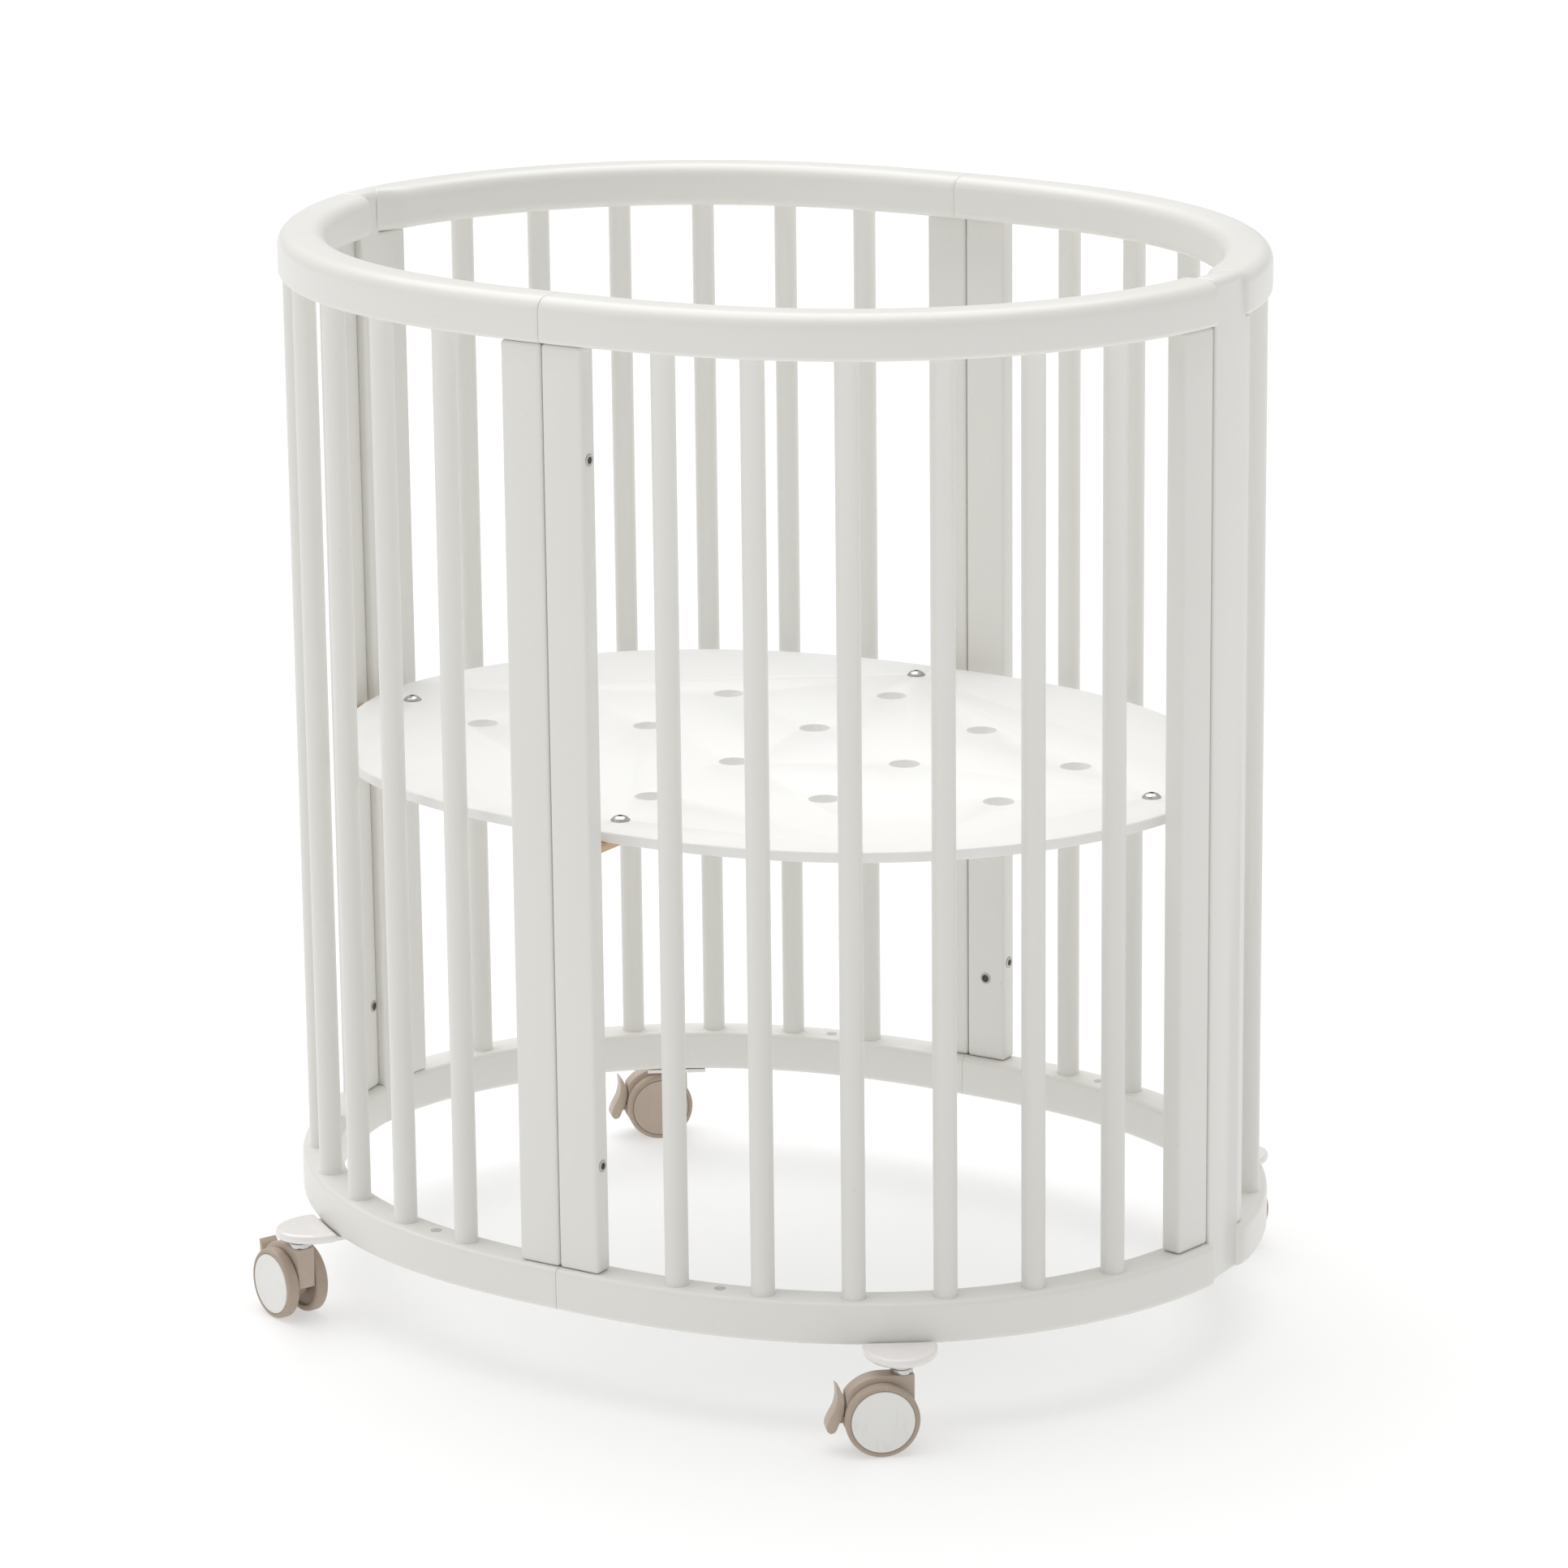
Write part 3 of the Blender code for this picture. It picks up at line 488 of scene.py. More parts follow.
def sectionCurve(name, size, low, high):
    # a closed outline: X is the offset from the oval, Y is the height
    corners = ((size["outside"], high, 0), (-size["inside"], high, 90),
               (-size["inside"], low, 180), (size["outside"], low, 270))
    points = []
    for (side, height, start), rounding in zip(corners, size["rounding"]):
        middleX = side - math.copysign(rounding, side)
        middleY = height - rounding if height == high else height + rounding
        for step in range(rails["cornerSteps"] + 1):
            angle = math.radians(start + 90 * step / rails["cornerSteps"])
            points.append((middleX + rounding * math.cos(angle), middleY + rounding * math.sin(angle)))
    return lineCurve(name, [(x, y, 0) for x, y in points], closed=True, flat=True)


def lineCurve(name, points, closed=False, flat=False):
    data = bpy.data.curves.new(name, "CURVE")
    data.dimensions = "2D" if flat else "3D"
    spline = data.splines.new("POLY")
    spline.points.add(len(points) - 1)
    for knot, point in zip(spline.points, points):
        knot.co = (*point, 1)
    spline.use_cyclic_u = closed
    made = bpy.data.objects.new(name, data)
    bpy.context.scene.collection.objects.link(made)
    return made


def trim(piece, point, away):
    # cuts off what lies beyond a plane, and closes the cut
    pick(piece)
    bpy.ops.object.mode_set(mode="EDIT")
    bpy.ops.mesh.select_all(action="SELECT")
    bpy.ops.mesh.bisect(plane_co=point, plane_no=away, use_fill=True, clear_outer=True)
    bpy.ops.object.mode_set(mode="OBJECT")
    return piece


def panelEnd(quarter):
    return quarterRun + oval["seamOffset"] if quarter in backQuarters else quarterRun - oval["seamOffset"]


def neckAt(offset):
    share = (offset + rails["postInside"]) / (rails["postOutside"] + rails["postInside"])
    return rails["neckInside"] + (rails["neckOutside"] - rails["neckInside"]) * share


def endPlane(quarter, size):
    # the point and the direction of the cut at the far end, slanted where the rail meets a post
    def spot(offset):
        run = panelEnd(quarter) - rails["halfGap"]
        if quarter in backQuarters:
            run = panelEnd(quarter) - neckAt(offset) + rails["intoPost"]
        return inQuarter(onOval(run) + outAt(run) * offset, quarter)
    outer, inner = spot(rails["postOutside"]), spot(-rails["postInside"])
    across = (outer - inner).normalized()
    away = Vector((across.y, -across.x, 0))
    towards = inQuarter(onOval(panelEnd(quarter)) - onOval(panelEnd(quarter) - 0.05), quarter).normalized()
    return outer, away if away.dot(towards) > 0 else -away, towards


def narrowToPost(rail, quarter, size, runs):
    # the rail's sides run in smoothly until they are flush with the post
    knots = [inQuarter(onOval(run), quarter) for run in runs]
    for corner in rail.data.vertices:
        flat = Vector((corner.co.x, corner.co.y, 0))
        nearest = min(range(len(runs)), key=lambda index: (knots[index] - flat).length_squared)
        fromSeam = panelEnd(quarter) - runs[nearest]
        share = min(1.0, max(0.0, (rails["flareFrom"] - fromSeam) / (rails["flareFrom"] - rails["flareTo"])))
        share = share * share * (3 - 2 * share)
        aside = flat - knots[nearest]
        outer = aside.dot(inQuarter(outAt(runs[nearest]), quarter)) > 0
        target = rails["postOutside"] / size["outside"] if outer else rails["postInside"] / size["inside"]
        moved = knots[nearest] + aside * (1 + (target - 1) * share)
        corner.co.x, corner.co.y = moved.x, moved.y


def roundEnd(rail, point, away, towards, rounding):
    # the cap is inset and pushed out in small steps, which rounds its rim
    pick(rail)
    bpy.ops.object.mode_set(mode="EDIT")
    bpy.ops.mesh.select_all(action="DESELECT")
    bpy.ops.mesh.select_mode(type="FACE")
    bpy.ops.object.mode_set(mode="OBJECT")
    for face in rail.data.polygons:
        face.select = face.normal.dot(away) > 0.999 and abs((face.center - point).dot(away)) < 0.0001
    bpy.ops.object.mode_set(mode="EDIT")
    steps = rails["endSteps"]
    angles = [math.pi / 2 * step / steps for step in range(steps + 1)]
    for before, after in zip(angles, angles[1:]):
        bpy.ops.mesh.inset(thickness=rounding * (math.cos(before) - math.cos(after)), use_even_offset=False)
        bpy.ops.transform.translate(value=towards * rounding * (math.sin(after) - math.sin(before)))
    bpy.ops.mesh.select_mode(type="VERT")
    bpy.ops.object.mode_set(mode="OBJECT")


def makeRail(quarter, kind, low, high):
    size = rails[kind]
    reach = panelEnd(quarter) + 2 * rails["overrun"]
    steps = int(reach / rails["pathStep"])
    runs = [-rails["overrun"] + reach * step / steps for step in range(steps + 1)]
    route = lineCurve("route", [inQuarter(onOval(run), quarter) for run in runs])
    flips = quarters[quarter][0] * quarters[quarter][1] < 0
    section = sectionCurve("section", size, low, high)
    if not flips:
        for knot in section.data.splines[0].points:
            knot.co.x = -knot.co.x
    route.data.bevel_mode = "OBJECT"
    route.data.bevel_object = section
    route.data.twist_mode = "Z_UP"
    route.data.use_fill_caps = True
    pick(route)
    bpy.ops.object.convert(target="MESH")
    rail = outwards(named(f"{quarter}_{kind}_rail_painted"))
    drop(section)
    if quarter in backQuarters:
        narrowToPost(rail, quarter, size, runs)
    middle = Vector((rails["halfGap"] * quarters[quarter][0], 0, 0))
    trim(rail, middle, (-quarters[quarter][0], 0, 0))
    point, away, towards = endPlane(quarter, size)
    rounding = rails["postEndRounding"] if quarter in backQuarters else rails["seamEndRounding"]
    start = Vector((point.x, point.y, low)) - towards * rounding
    trim(rail, start, away)
    roundEnd(rail, start, away, towards, rounding)
    softEdges(rail, rails["edgeRounding"], 2, 50)
    return smooth(rail, 40)


def makeRails():
    for quarter in quarters:
        for kind, low, high in (("bottom", railLow.z, railHigh.z), ("top", topLow.z, topHigh.z)):
            rail = makeRail(quarter, kind, low, high)
            finish(rail, framePaint, "white_paint", "crib", f"{quarter}_{kind}_rail")


makeRails()
print("rails drawn along the oval")


# rods: turned, with a thin bead of paint where they enter the rails

rod = {"count": 6, "bead": 0.0005, "beadHeight": 0.0012, "sides": 40}


def makeRods():
    low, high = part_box("front_right_rod_1")
    radius = rodRadius
    seatLow, seatHigh = railHigh.z, topLow.z
    bead, rise = rod["bead"], rod["beadHeight"]
    profile = [(radius - 0.0004, low.z), (radius, low.z + 0.0004), (radius, seatLow - 0.0005),
               (radius + bead, seatLow - 0.0004), (radius + bead, seatLow + rise * 0.35), (radius, seatLow + rise),
               (radius, seatHigh - rise), (radius + bead, seatHigh - rise * 0.35), (radius + bead, seatHigh + 0.0004),
               (radius, seatHigh + 0.0005), (radius, high.z - 0.0004), (radius - 0.0004, high.z)]
    pattern = smooth(turnedPiece("rod_pattern", profile, rod["sides"]), 60)
    for quarter in quarters:
        for number in range(1, rod["count"] + 1):
            node = f"{quarter}_rod_{number}"
            low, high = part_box(node)
            spot = Matrix.Translation(((low.x + high.x) / 2, (low.y + high.y) / 2, 0))
            turn = Matrix.Rotation(number * 1.7, 4, "Z")
            piece = copyOf(pattern, node + "_turned", spot @ turn)
            finish(piece, framePaint, "white_paint", "crib", node)
    drop(pattern)


makeRods()
print("rods turned")


# uprights: flat stiles, and the two posts taken from the frame with their edges rounded

stile = {"rounding": 0.003, "segments": 4, "postRounding": 0.0022, "postTopRounding": 0.0070,
         "thickness": 0.018, "width": 0.037, "halfPost": 0.031,
         "sideOutset": 0.002, "seam": 0.0008}


def stileSpot(quarter, kind):
    if kind == "end":
        return placeAt(quarter, panelEnd(quarter) - stile["seam"] - stile["width"] / 2)
    signX, signY = quarters[quarter]
    middle = signX * (stile["seam"] / 2 + stile["width"] / 2)
    turn = Matrix.Rotation(signY * math.pi / 2, 4, "Z")
    return Matrix.Translation((middle, signY * (halfWide + stile["sideOutset"]), 0)) @ turn


def makeStiles():
    low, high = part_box("front_left_side_stile")
    half, wide = stile["thickness"] / 2, stile["width"] / 2
    pattern = blockPiece("stile_pattern", (-half, -wide, low.z), (half, wide, high.z), stile["rounding"],
                         stile["segments"])
    smooth(pattern, 60)
    for quarter in quarters:
        for kind in ("side", "end"):
            if kind == "end" and quarter in backQuarters:
                continue
            node = f"{quarter}_{kind}_stile"
            piece = copyOf(pattern, node + "_painted", stileSpot(quarter, kind))
            finish(piece, framePaint, "white_paint", "crib", node)
    drop(pattern)


def makePosts():
    source = frame["nodes"]["back_left_end_post"]
    post = copyOf(source, "back_left_post_painted", Matrix.Identity(4))
    post.parent = None
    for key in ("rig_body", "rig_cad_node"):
        if key in post:
            del post[key]
    pick(post)
    bpy.ops.object.mode_set(mode="EDIT")
    bpy.ops.mesh.select_all(action="SELECT")
    bpy.ops.mesh.remove_doubles(threshold=0.00002)
    bpy.ops.mesh.dissolve_limited(angle_limit=math.radians(0.5))
    bpy.ops.mesh.normals_make_consistent(inside=False)
    bpy.ops.mesh.select_all(action="DESELECT")
    bpy.ops.mesh.select_mode(type="EDGE")
    bpy.ops.object.mode_set(mode="OBJECT")
    # the two upper edges that run along the oval are rounded like the rail beside them
    corners = post.data.vertices
    along = inQuarter(onOval(quarterRun) - onOval(quarterRun - 0.02), "back_left").normalized()
    for edge in post.data.edges:
        first, second = (corners[index].co for index in edge.vertices)
        atTop = min(first.z, second.z) > topHigh.z - 0.0002
        edge.select = atTop and abs((second - first).normalized().dot(along)) > 0.9
    bpy.ops.object.mode_set(mode="EDIT")
    bpy.ops.mesh.bevel(offset=stile["postTopRounding"], offset_type="OFFSET", segments=6, affect="EDGES")
    bpy.ops.mesh.select_mode(type="VERT")
    bpy.ops.object.mode_set(mode="OBJECT")
    softEdges(post, stile["postRounding"], 4, 30)
    smooth(post, 50)
    other = copyOf(post, "back_right_post_painted", Matrix.Diagonal((-1, 1, 1, 1)))
    finish(post, framePaint, "white_paint", "crib", "back_left_end_post")
    finish(other, framePaint, "white_paint", "crib", "back_right_end_post")


makeStiles()
makePosts()
print("uprights planed")


# board with its air holes, the beech blocks below it and their bolts

board = {"inset": 0.0245, "rim": 256, "edge": 0.0018, "vent": 0.0125, "ventRounding": 0.0009, "pitch": 0.125,
         "margin": 0.040, "bolt": 0.00325, "boltFromOval": 0.060, "blockLength": 0.066, "blockWidth": 0.018,
         "blockHeight": 0.007, "blockRounding": 0.0009, "gap": 0.0003}
boardLow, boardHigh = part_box("mattress_board")
boltSpots = {"front_right": ("side", 0.009), "back_left": ("side", 0.009),
             "front_left": ("end", 0.009), "back_right": ("post", 0.015)}


def uprightSpot(quarter, kind):
    if kind == "post":
        return placeAt(quarter, panelEnd(quarter) - stile["halfPost"])
    return stileSpot(quarter, kind)


def boltPlace(quarter):
    kind, inner = boltSpots[quarter]
    outset = stile["sideOutset"] if kind == "side" else 0.0
    return uprightSpot(quarter, kind) @ Matrix.Translation((-board["boltFromOval"] - outset, 0, 0))


def boardRim():
    rim = []
    steps = board["rim"] // 4
    for signX, signY in ((1, 1), (-1, 1), (-1, -1), (1, -1)):
        runs = [quarterRun * step / steps for step in range(steps)]
        if signX * signY > 0:
            runs = [quarterRun - run for run in runs]
        for run in runs:
            point = onOval(run) - outAt(run) * board["inset"]
            rim.append((point.x * signX, point.y * signY))
    return rim


def ventPlaces():
    places = []
    longReach = halfLong - board["inset"] - board["margin"]
    wideReach = halfWide - board["inset"] - board["margin"]
    for column in range(-4, 5):
        for row in range(-4, 5):
            x = column * board["pitch"]
            y = (row + (0 if column % 2 else 0.5)) * board["pitch"]
            if abs(x / longReach) ** oval["lengthPower"] + abs(y / wideReach) ** oval["widthPower"] < 1:
                places.append((x, y))
    return places


def makeBoard():
    plate = flatPiece("board_painted", boardRim(), boardLow.z, boardHigh.z)
    softEdges(plate, board["edge"], 4, 50)
    cutters = []
    depth = boardHigh.z - boardLow.z + 0.01
    middle = (boardHigh.z + boardLow.z) / 2
    for x, y in ventPlaces():
        deselectAll()
        bpy.ops.mesh.primitive_cylinder_add(vertices=48, radius=board["vent"], depth=depth,
                                            location=(x, y, middle))
        cutters.append(freeze(named("vent_cutter")))
    for quarter in boltSpots:
        deselectAll()
        spot = boltPlace(quarter).translation
        bpy.ops.mesh.primitive_cylinder_add(vertices=24, radius=board["bolt"], depth=depth,
                                            location=(spot.x, spot.y, middle))
        cutters.append(freeze(named("bolt_cutter")))
    drill(plate, [joined("cutters", cutters)])
    softEdges(plate, board["ventRounding"], 2, 60)
    smooth(plate, 35)
    finish(plate, boardPaint, "board_lacquer", "crib", "mattress_board")


def makeBlocks():
    top = boardLow.z - board["gap"]
    half = board["blockWidth"] / 2
    for quarter, (kind, inner) in boltSpots.items():
        low = (-inner - board["blockLength"], -half, top - board["blockHeight"])
        high = (-inner - 0.0001, half, top)
        block = blockPiece(f"{quarter}_board_block", low, high, board["blockRounding"], 2)
        block.data.transform(uprightSpot(quarter, kind))
        smooth(block, 50)
        finish(block, bareBeech, "bare_beech", "crib")


bolt = {"radius": 0.0068, "dome": 0.0030, "washer": 0.0078, "washerHeight": 0.0008, "hex": 0.0023,
        "hexDepth": 0.004, "shank": 0.0030, "shankLength": 0.0155}


def makeBoardBolts():
    top = boardHigh.z
    radius, dome = bolt["radius"], bolt["dome"]
    rise = bolt["washerHeight"]
    profile = [(bolt["shank"], top - bolt["shankLength"]), (bolt["shank"], top - 0.0002),
               (bolt["washer"] - 0.0003, top + 0.0001),
               (bolt["washer"], top + 0.0004), (bolt["washer"] - 0.0003, top + rise), (radius, top + rise + 0.0001)]
    for step in range(1, 9):
        angle = math.radians(90 * step / 10)
        profile.append((radius * math.cos(angle), top + rise + 0.0001 + dome * math.sin(angle)))
    pattern = turnedPiece("bolt_pattern", profile, 40)
    deselectAll()
    bpy.ops.mesh.primitive_cylinder_add(vertices=6, radius=bolt["hex"], depth=bolt["hexDepth"],
                                        location=(0, 0, top + rise + dome))
    drill(pattern, [freeze(named("hex_cutter"))])
    smooth(pattern, 40)
    for quarter in boltSpots:
        piece = copyOf(pattern, f"{quarter}_board_bolt", Matrix.Translation(boltPlace(quarter).translation))
        finish(piece, brightSteel, "bolt_steel", "crib")
    drop(pattern)


makeBoard()
makeBlocks()
makeBoardBolts()
print("board, blocks and bolts in place")


# small fittings on the frame: plugs, panel bolts and inserts

fitting = {"plugRadius": 0.0048, "plugRise": 0.0003, "socket": 0.0031, "ring": 0.0051, "fromStileEnd": 0.0888,
           "insertRing": 0.0050, "insertHole": 0.0034, "insertHeight": 0.185, "insertFromSeam": 0.008}


def makePlugs():
    pattern = smooth(turnedPiece("plug_pattern", [(fitting["plugRadius"] - 0.0004, -0.002),
                                                  (fitting["plugRadius"], -0.0016),
                                                  (fitting["plugRadius"], fitting["plugRise"] * 0.4),
                                                  (fitting["plugRadius"] - 0.0005, fitting["plugRise"])], 32), 40)
    for quarter in quarters:
        first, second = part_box(f"{quarter}_rod_1"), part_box(f"{quarter}_rod_2")
        spot = (first[0] + first[1] + second[0] + second[1]) / 4
        spot.z = railHigh.z
        piece = copyOf(pattern, f"{quarter}_rail_plug", Matrix.Translation(spot))
        finish(piece, plugGrey, "bare_beech", "crib")
    drop(pattern)


def socketDisc(name, outer, hole, sides):
    # a flat disc with a socket cut into it, facing up
    profile = [(outer - 0.0003, -0.0040), (outer, -0.0037), (outer, 0.0003), (outer - 0.0005, 0.0007),
               (hole, 0.0006)]
    disc = turnedPiece(name, profile, 36)
    deselectAll()
    bpy.ops.mesh.primitive_cylinder_add(vertices=sides, radius=hole, depth=0.004, location=(0, 0, 0.0021))
    drill(disc, [freeze(named("socket_cutter"))])
    return smooth(disc, 40)


def socketShade(name, hole):
    # the dark bottom of the socket: a near-black disc, painted shade that stands in for the shadow deep in the socket
    wide = hole + 0.0004
    profile = [(wide - 0.0001, -0.0030), (wide, -0.0028), (wide, 0.0001), (wide - 0.0001, 0.0002)]
    return smooth(turnedPiece(name, profile, 32), 40)


def setFitting(name, ring, shade, place):
    finish(copyOf(ring, name, place), zincPlate, "bolt_steel", "crib")
    # the near-black disc under the socket is painted shade for the shadow in the hole
    finish(copyOf(shade, name + "_socket", place), paintedShadowPlastic, "bolt_steel", "crib")


def makeFittings():
    ring = socketDisc("panel_bolt_pattern", fitting["ring"], fitting["socket"], 6)
    shade = socketShade("socket_pattern", fitting["socket"])
    low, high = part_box("front_left_side_stile")
    sideway = halfWide + stile["sideOutset"]
    edge = stile["seam"] / 2 + stile["width"]
    for signX, signY in ((-1, -1), (1, -1), (-1, 1), (1, 1)):
        turn = Matrix.Rotation(signX * math.pi / 2, 4, "Y")
        side = "left" if signX < 0 else "right"
        end = "front" if signY < 0 else "back"
        levels = {"lower": low.z + fitting["fromStileEnd"], "upper": high.z - fitting["fromStileEnd"]}
        for level, height in levels.items():
            spot = Matrix.Translation((signX * edge, signY * sideway, height))
            setFitting(f"{end}_{side}_{level}_panel_bolt", ring, shade, spot @ turn)
    drop(ring, shade)


def makeInserts():
    # threaded inserts on the inner faces of two uprights, for a lower board
    ring = socketDisc("insert_pattern", fitting["insertRing"], fitting["insertHole"], 32)
    shade = socketShade("insert_socket_pattern", fitting["insertHole"])
    inward = Matrix.Rotation(-math.pi / 2, 4, "Y")
    face = Matrix.Translation((-stile["thickness"] / 2, 0, fitting["insertHeight"]))
    setFitting("back_right_insert", ring, shade, stileSpot("back_right", "side") @ face @ inward)
    endSpot = placeAt("front_left", panelEnd("front_left") - fitting["insertFromSeam"])
    setFitting("front_left_insert", ring, shade, endSpot @ face @ inward)
    drop(ring, shade)


makePlugs()
makeFittings()
makeInserts()
print("plugs, panel bolts and inserts set")


# casters

caster = {"bracketWide": 0.0596, "tongue": 0.0078, "fromOval": 0.0398, "straight": 0.0168, "tip": 0.0203,
          "distance": 0.2812, "railFace": 0.0168, "trail": 0.0174, "wheelRadius": 0.0296, "pairWidth": 0.0392,
          "wheelWidth": 0.0114, "capRadius": 0.0252, "treadRounding": 0.0030, "collar": 0.0091,
          "collarLow": 0.0632, "collarHigh": 0.0717, "hood": 0.0338, "forkFront": 0.0093, "leverWidth": 0.016,
          "bracketLow": 0.0722, "underRail": 0.014, "plateInset": 0.004, "plateOverlap": 0.010,
          "pinBack": 0.0205, "pinDrop": 0.0020, "pinRadius": 0.0020}
forkWidth = caster["pairWidth"] - 2 * caster["wheelWidth"] - 0.001


def makeBracketPattern():
    # a thick tongue with a full round edge, in the frame of placeAt
    half = caster["bracketWide"] / 2
    straight = caster["fromOval"] - caster["straight"]
    reach = caster["straight"] + caster["tip"]
    outline = [(caster["railFace"], half), (caster["railFace"], -half)]
    steps = 48
    for step in range(steps + 1):
        angle = math.radians(-90 + 180 * step / steps)
        outline.append((straight + reach * math.cos(angle), half * math.sin(angle)))
    low = caster["bracketLow"]
    tongue = flatPiece("bracket_pattern", outline, low, low + caster["tongue"])
    softEdges(tongue, caster["tongue"] * 0.46, 7, 50)
    plateLow = (-caster["underRail"], -half + caster["plateInset"], low + 0.0003)
    plateHigh = (caster["railFace"] + caster["plateOverlap"], half - caster["plateInset"], low + 0.0035)
    plate = blockPiece("plate", plateLow, plateHigh, 0.0004, 1)
    drill(tongue, [plate], "UNION")
    return smooth(tongue, 40)


def arcPoints(centre, radius, start, end, steps):
    points = []
    for step in range(steps + 1):
        angle = math.radians(start + (end - start) * step / steps)
        points.append((centre[0] + radius * math.cos(angle), centre[1] + radius * math.sin(angle)))
    return points


def leverPin():
    # the lever's pin behind the axle, in the frame of the stem
    return caster["trail"] + caster["pinBack"], caster["wheelRadius"] - caster["pinDrop"]


def makeForkPattern():
    axle = (caster["trail"], caster["wheelRadius"])
    top = caster["collarLow"] + 0.0003
    hoodStart = 90 + math.degrees(math.acos(min(1.0, (top - axle[1]) / caster["hood"])))
    outline = arcPoints(axle, caster["hood"], 34, hoodStart, 28)
    outline += [(-caster["forkFront"], top), (-caster["forkFront"], axle[1])]
    outline += arcPoints(axle, 0.0145, 200, 290, 12)
    pin = leverPin()
    outline += arcPoints(pin, 0.0050, 260, 350, 8)
    body = flatPiece("fork_pattern", outline, -forkWidth / 2, forkWidth / 2, upright=True)
    softEdges(body, 0.0009, 3, 40)
    slotLow = (axle[0] + 0.0145, -0.0045, axle[1] - 0.022)
    slotHigh = (axle[0] + 0.040, 0.0045, axle[1] + 0.004)
    drill(body, [blockPiece("lever_slot", slotLow, slotHigh, 0.0005, 1)])
    deselectAll()
    bpy.ops.mesh.primitive_cylinder_add(vertices=24, radius=caster["pinRadius"], depth=forkWidth - 0.001,
                                        location=(pin[0], 0, pin[1]), rotation=(math.pi / 2, 0, 0))
    drill(body, [freeze(named("lever_pin"))], "UNION")
    return smooth(body, 35)


def makeCollarPattern():
    low, high, wide = caster["collarLow"], caster["collarHigh"], caster["collar"]
    profile = [(wide - 0.0012, low + 0.0003), (wide - 0.0002, low + 0.0006), (wide, low + 0.0012),
               (wide, low + 0.0040), (wide - 0.0004, low + 0.0044), (wide - 0.0014, low + 0.0046),
               (wide - 0.0014, low + 0.0052),
               (wide - 0.0006, low + 0.0055), (wide - 0.0005, high - 0.0006), (wide - 0.0010, high - 0.0002)]
    return smooth(turnedPiece("collar_pattern", profile, 48), 40)


def makeWheelPattern():
    # one wheel about Z with its outer side up: tread with rounded shoulders, hub and dished inner side
    radius, wide, rounding = caster["wheelRadius"], caster["wheelWidth"], caster["treadRounding"]
    low, high = caster["pairWidth"] / 2 - wide, caster["pairWidth"] / 2
    cap = caster["capRadius"]
    shoulder = radius - rounding
    profile = [(0.0070, low + 0.0002), (0.0078, low + 0.0002), (0.0085, low + 0.0030), (cap - 0.0015, low + 0.0030),
               (cap - 0.0005, low + 0.0004), (cap + 0.0005, low)]
    for step in range(7):
        angle = math.radians(-90 + 90 * step / 6)
        profile.append((shoulder + rounding * math.cos(angle), low + rounding + rounding * math.sin(angle)))
    for step in range(7):
        angle = math.radians(90 * step / 6)
        profile.append((shoulder + rounding * math.cos(angle), high - rounding + rounding * math.sin(angle)))
    profile += [(cap + 0.0009, high - 0.0002), (cap + 0.0003, high - 0.0010), (cap - 0.0010, high - 0.0012)]
    return smooth(turnedPiece("wheel_pattern", profile, 96), 32)


def makeCapPattern():
    # a plain cap with a faint dish and a rounded rim
    high, cap = caster["pairWidth"] / 2, caster["capRadius"]
    profile = [(cap - 0.0008, high - 0.0012), (cap, high - 0.0008), (cap - 0.0002, high - 0.0002),
               (cap - 0.0010, high),
               (cap - 0.0030, high + 0.0001), (cap - 0.0045, high - 0.0002), (cap * 0.5, high - 0.0004),
               (0.0012, high - 0.0003)]
    return smooth(turnedPiece("cap_pattern", profile, 96), 32)


lever = {"outer": ((0.0353, 0.0277), (0.0347, 0.0210), (0.0348, 0.0156), (0.0367, 0.0083), (0.0406, 0.0011),
                   (0.0429, -0.0048), (0.0430, -0.0089), (0.0401, -0.0117)),
         "inner": ((0.0375, -0.0112), (0.0356, -0.0093), (0.0336, -0.0047), (0.0317, -0.0008), (0.0297, 0.0045),
                   (0.0290, 0.0112), (0.0296, 0.0180), (0.0321, 0.0242)),
         "rounding": 0.0009, "steps": 4}


def throughPoints(points, steps):
    # a smooth line through a few points
    line = []
    for index in range(len(points) - 1):
        before = Vector(points[max(index - 1, 0)])
        start, end = Vector(points[index]), Vector(points[index + 1])
        after = Vector(points[min(index + 2, len(points) - 1)])
        for step in range(steps):
            t = step / steps
            bend = 2 * before - 5 * start + 4 * end - after
            twist = 3 * start - before - 3 * end + after
            line.append(0.5 * ((2 * start) + (end - before) * t + bend * t**2 + twist * t**3))
    line.append(Vector(points[-1]))
    return [(point.x, point.y) for point in line]


def makeLeverPattern():
    axle = (caster["trail"], caster["wheelRadius"])
    line = throughPoints(lever["outer"], lever["steps"]) + throughPoints(lever["inner"], lever["steps"])
    outline = [(axle[0] + x, axle[1] + z) for x, z in line]
    half = caster["leverWidth"] / 2
    blade = flatPiece("lever_pattern", outline, -half, half, upright=True)
    softEdges(blade, lever["rounding"], 3, 40)
    pin = leverPin()
    linkLow = (pin[0] + 0.002, -0.0037, pin[1] - 0.0027)
    linkHigh = (axle[0] + 0.0325, 0.0037, pin[1] + 0.0027)
    link = blockPiece("link", linkLow, linkHigh, 0.0004, 1)
    lug = flatPiece("lug", arcPoints(pin, 0.0045, 0, 350, 35), -0.0040, 0.0040, upright=True)
    drill(blade, [link], "UNION")
    drill(blade, [lug], "UNION")
    deselectAll()
    bpy.ops.mesh.primitive_cylinder_add(vertices=24, radius=0.0025, depth=0.02, location=(pin[0], 0, pin[1]),
                                        rotation=(math.pi / 2, 0, 0))
    drill(blade, [freeze(named("pin_hole"))])
    return smooth(blade, 35)


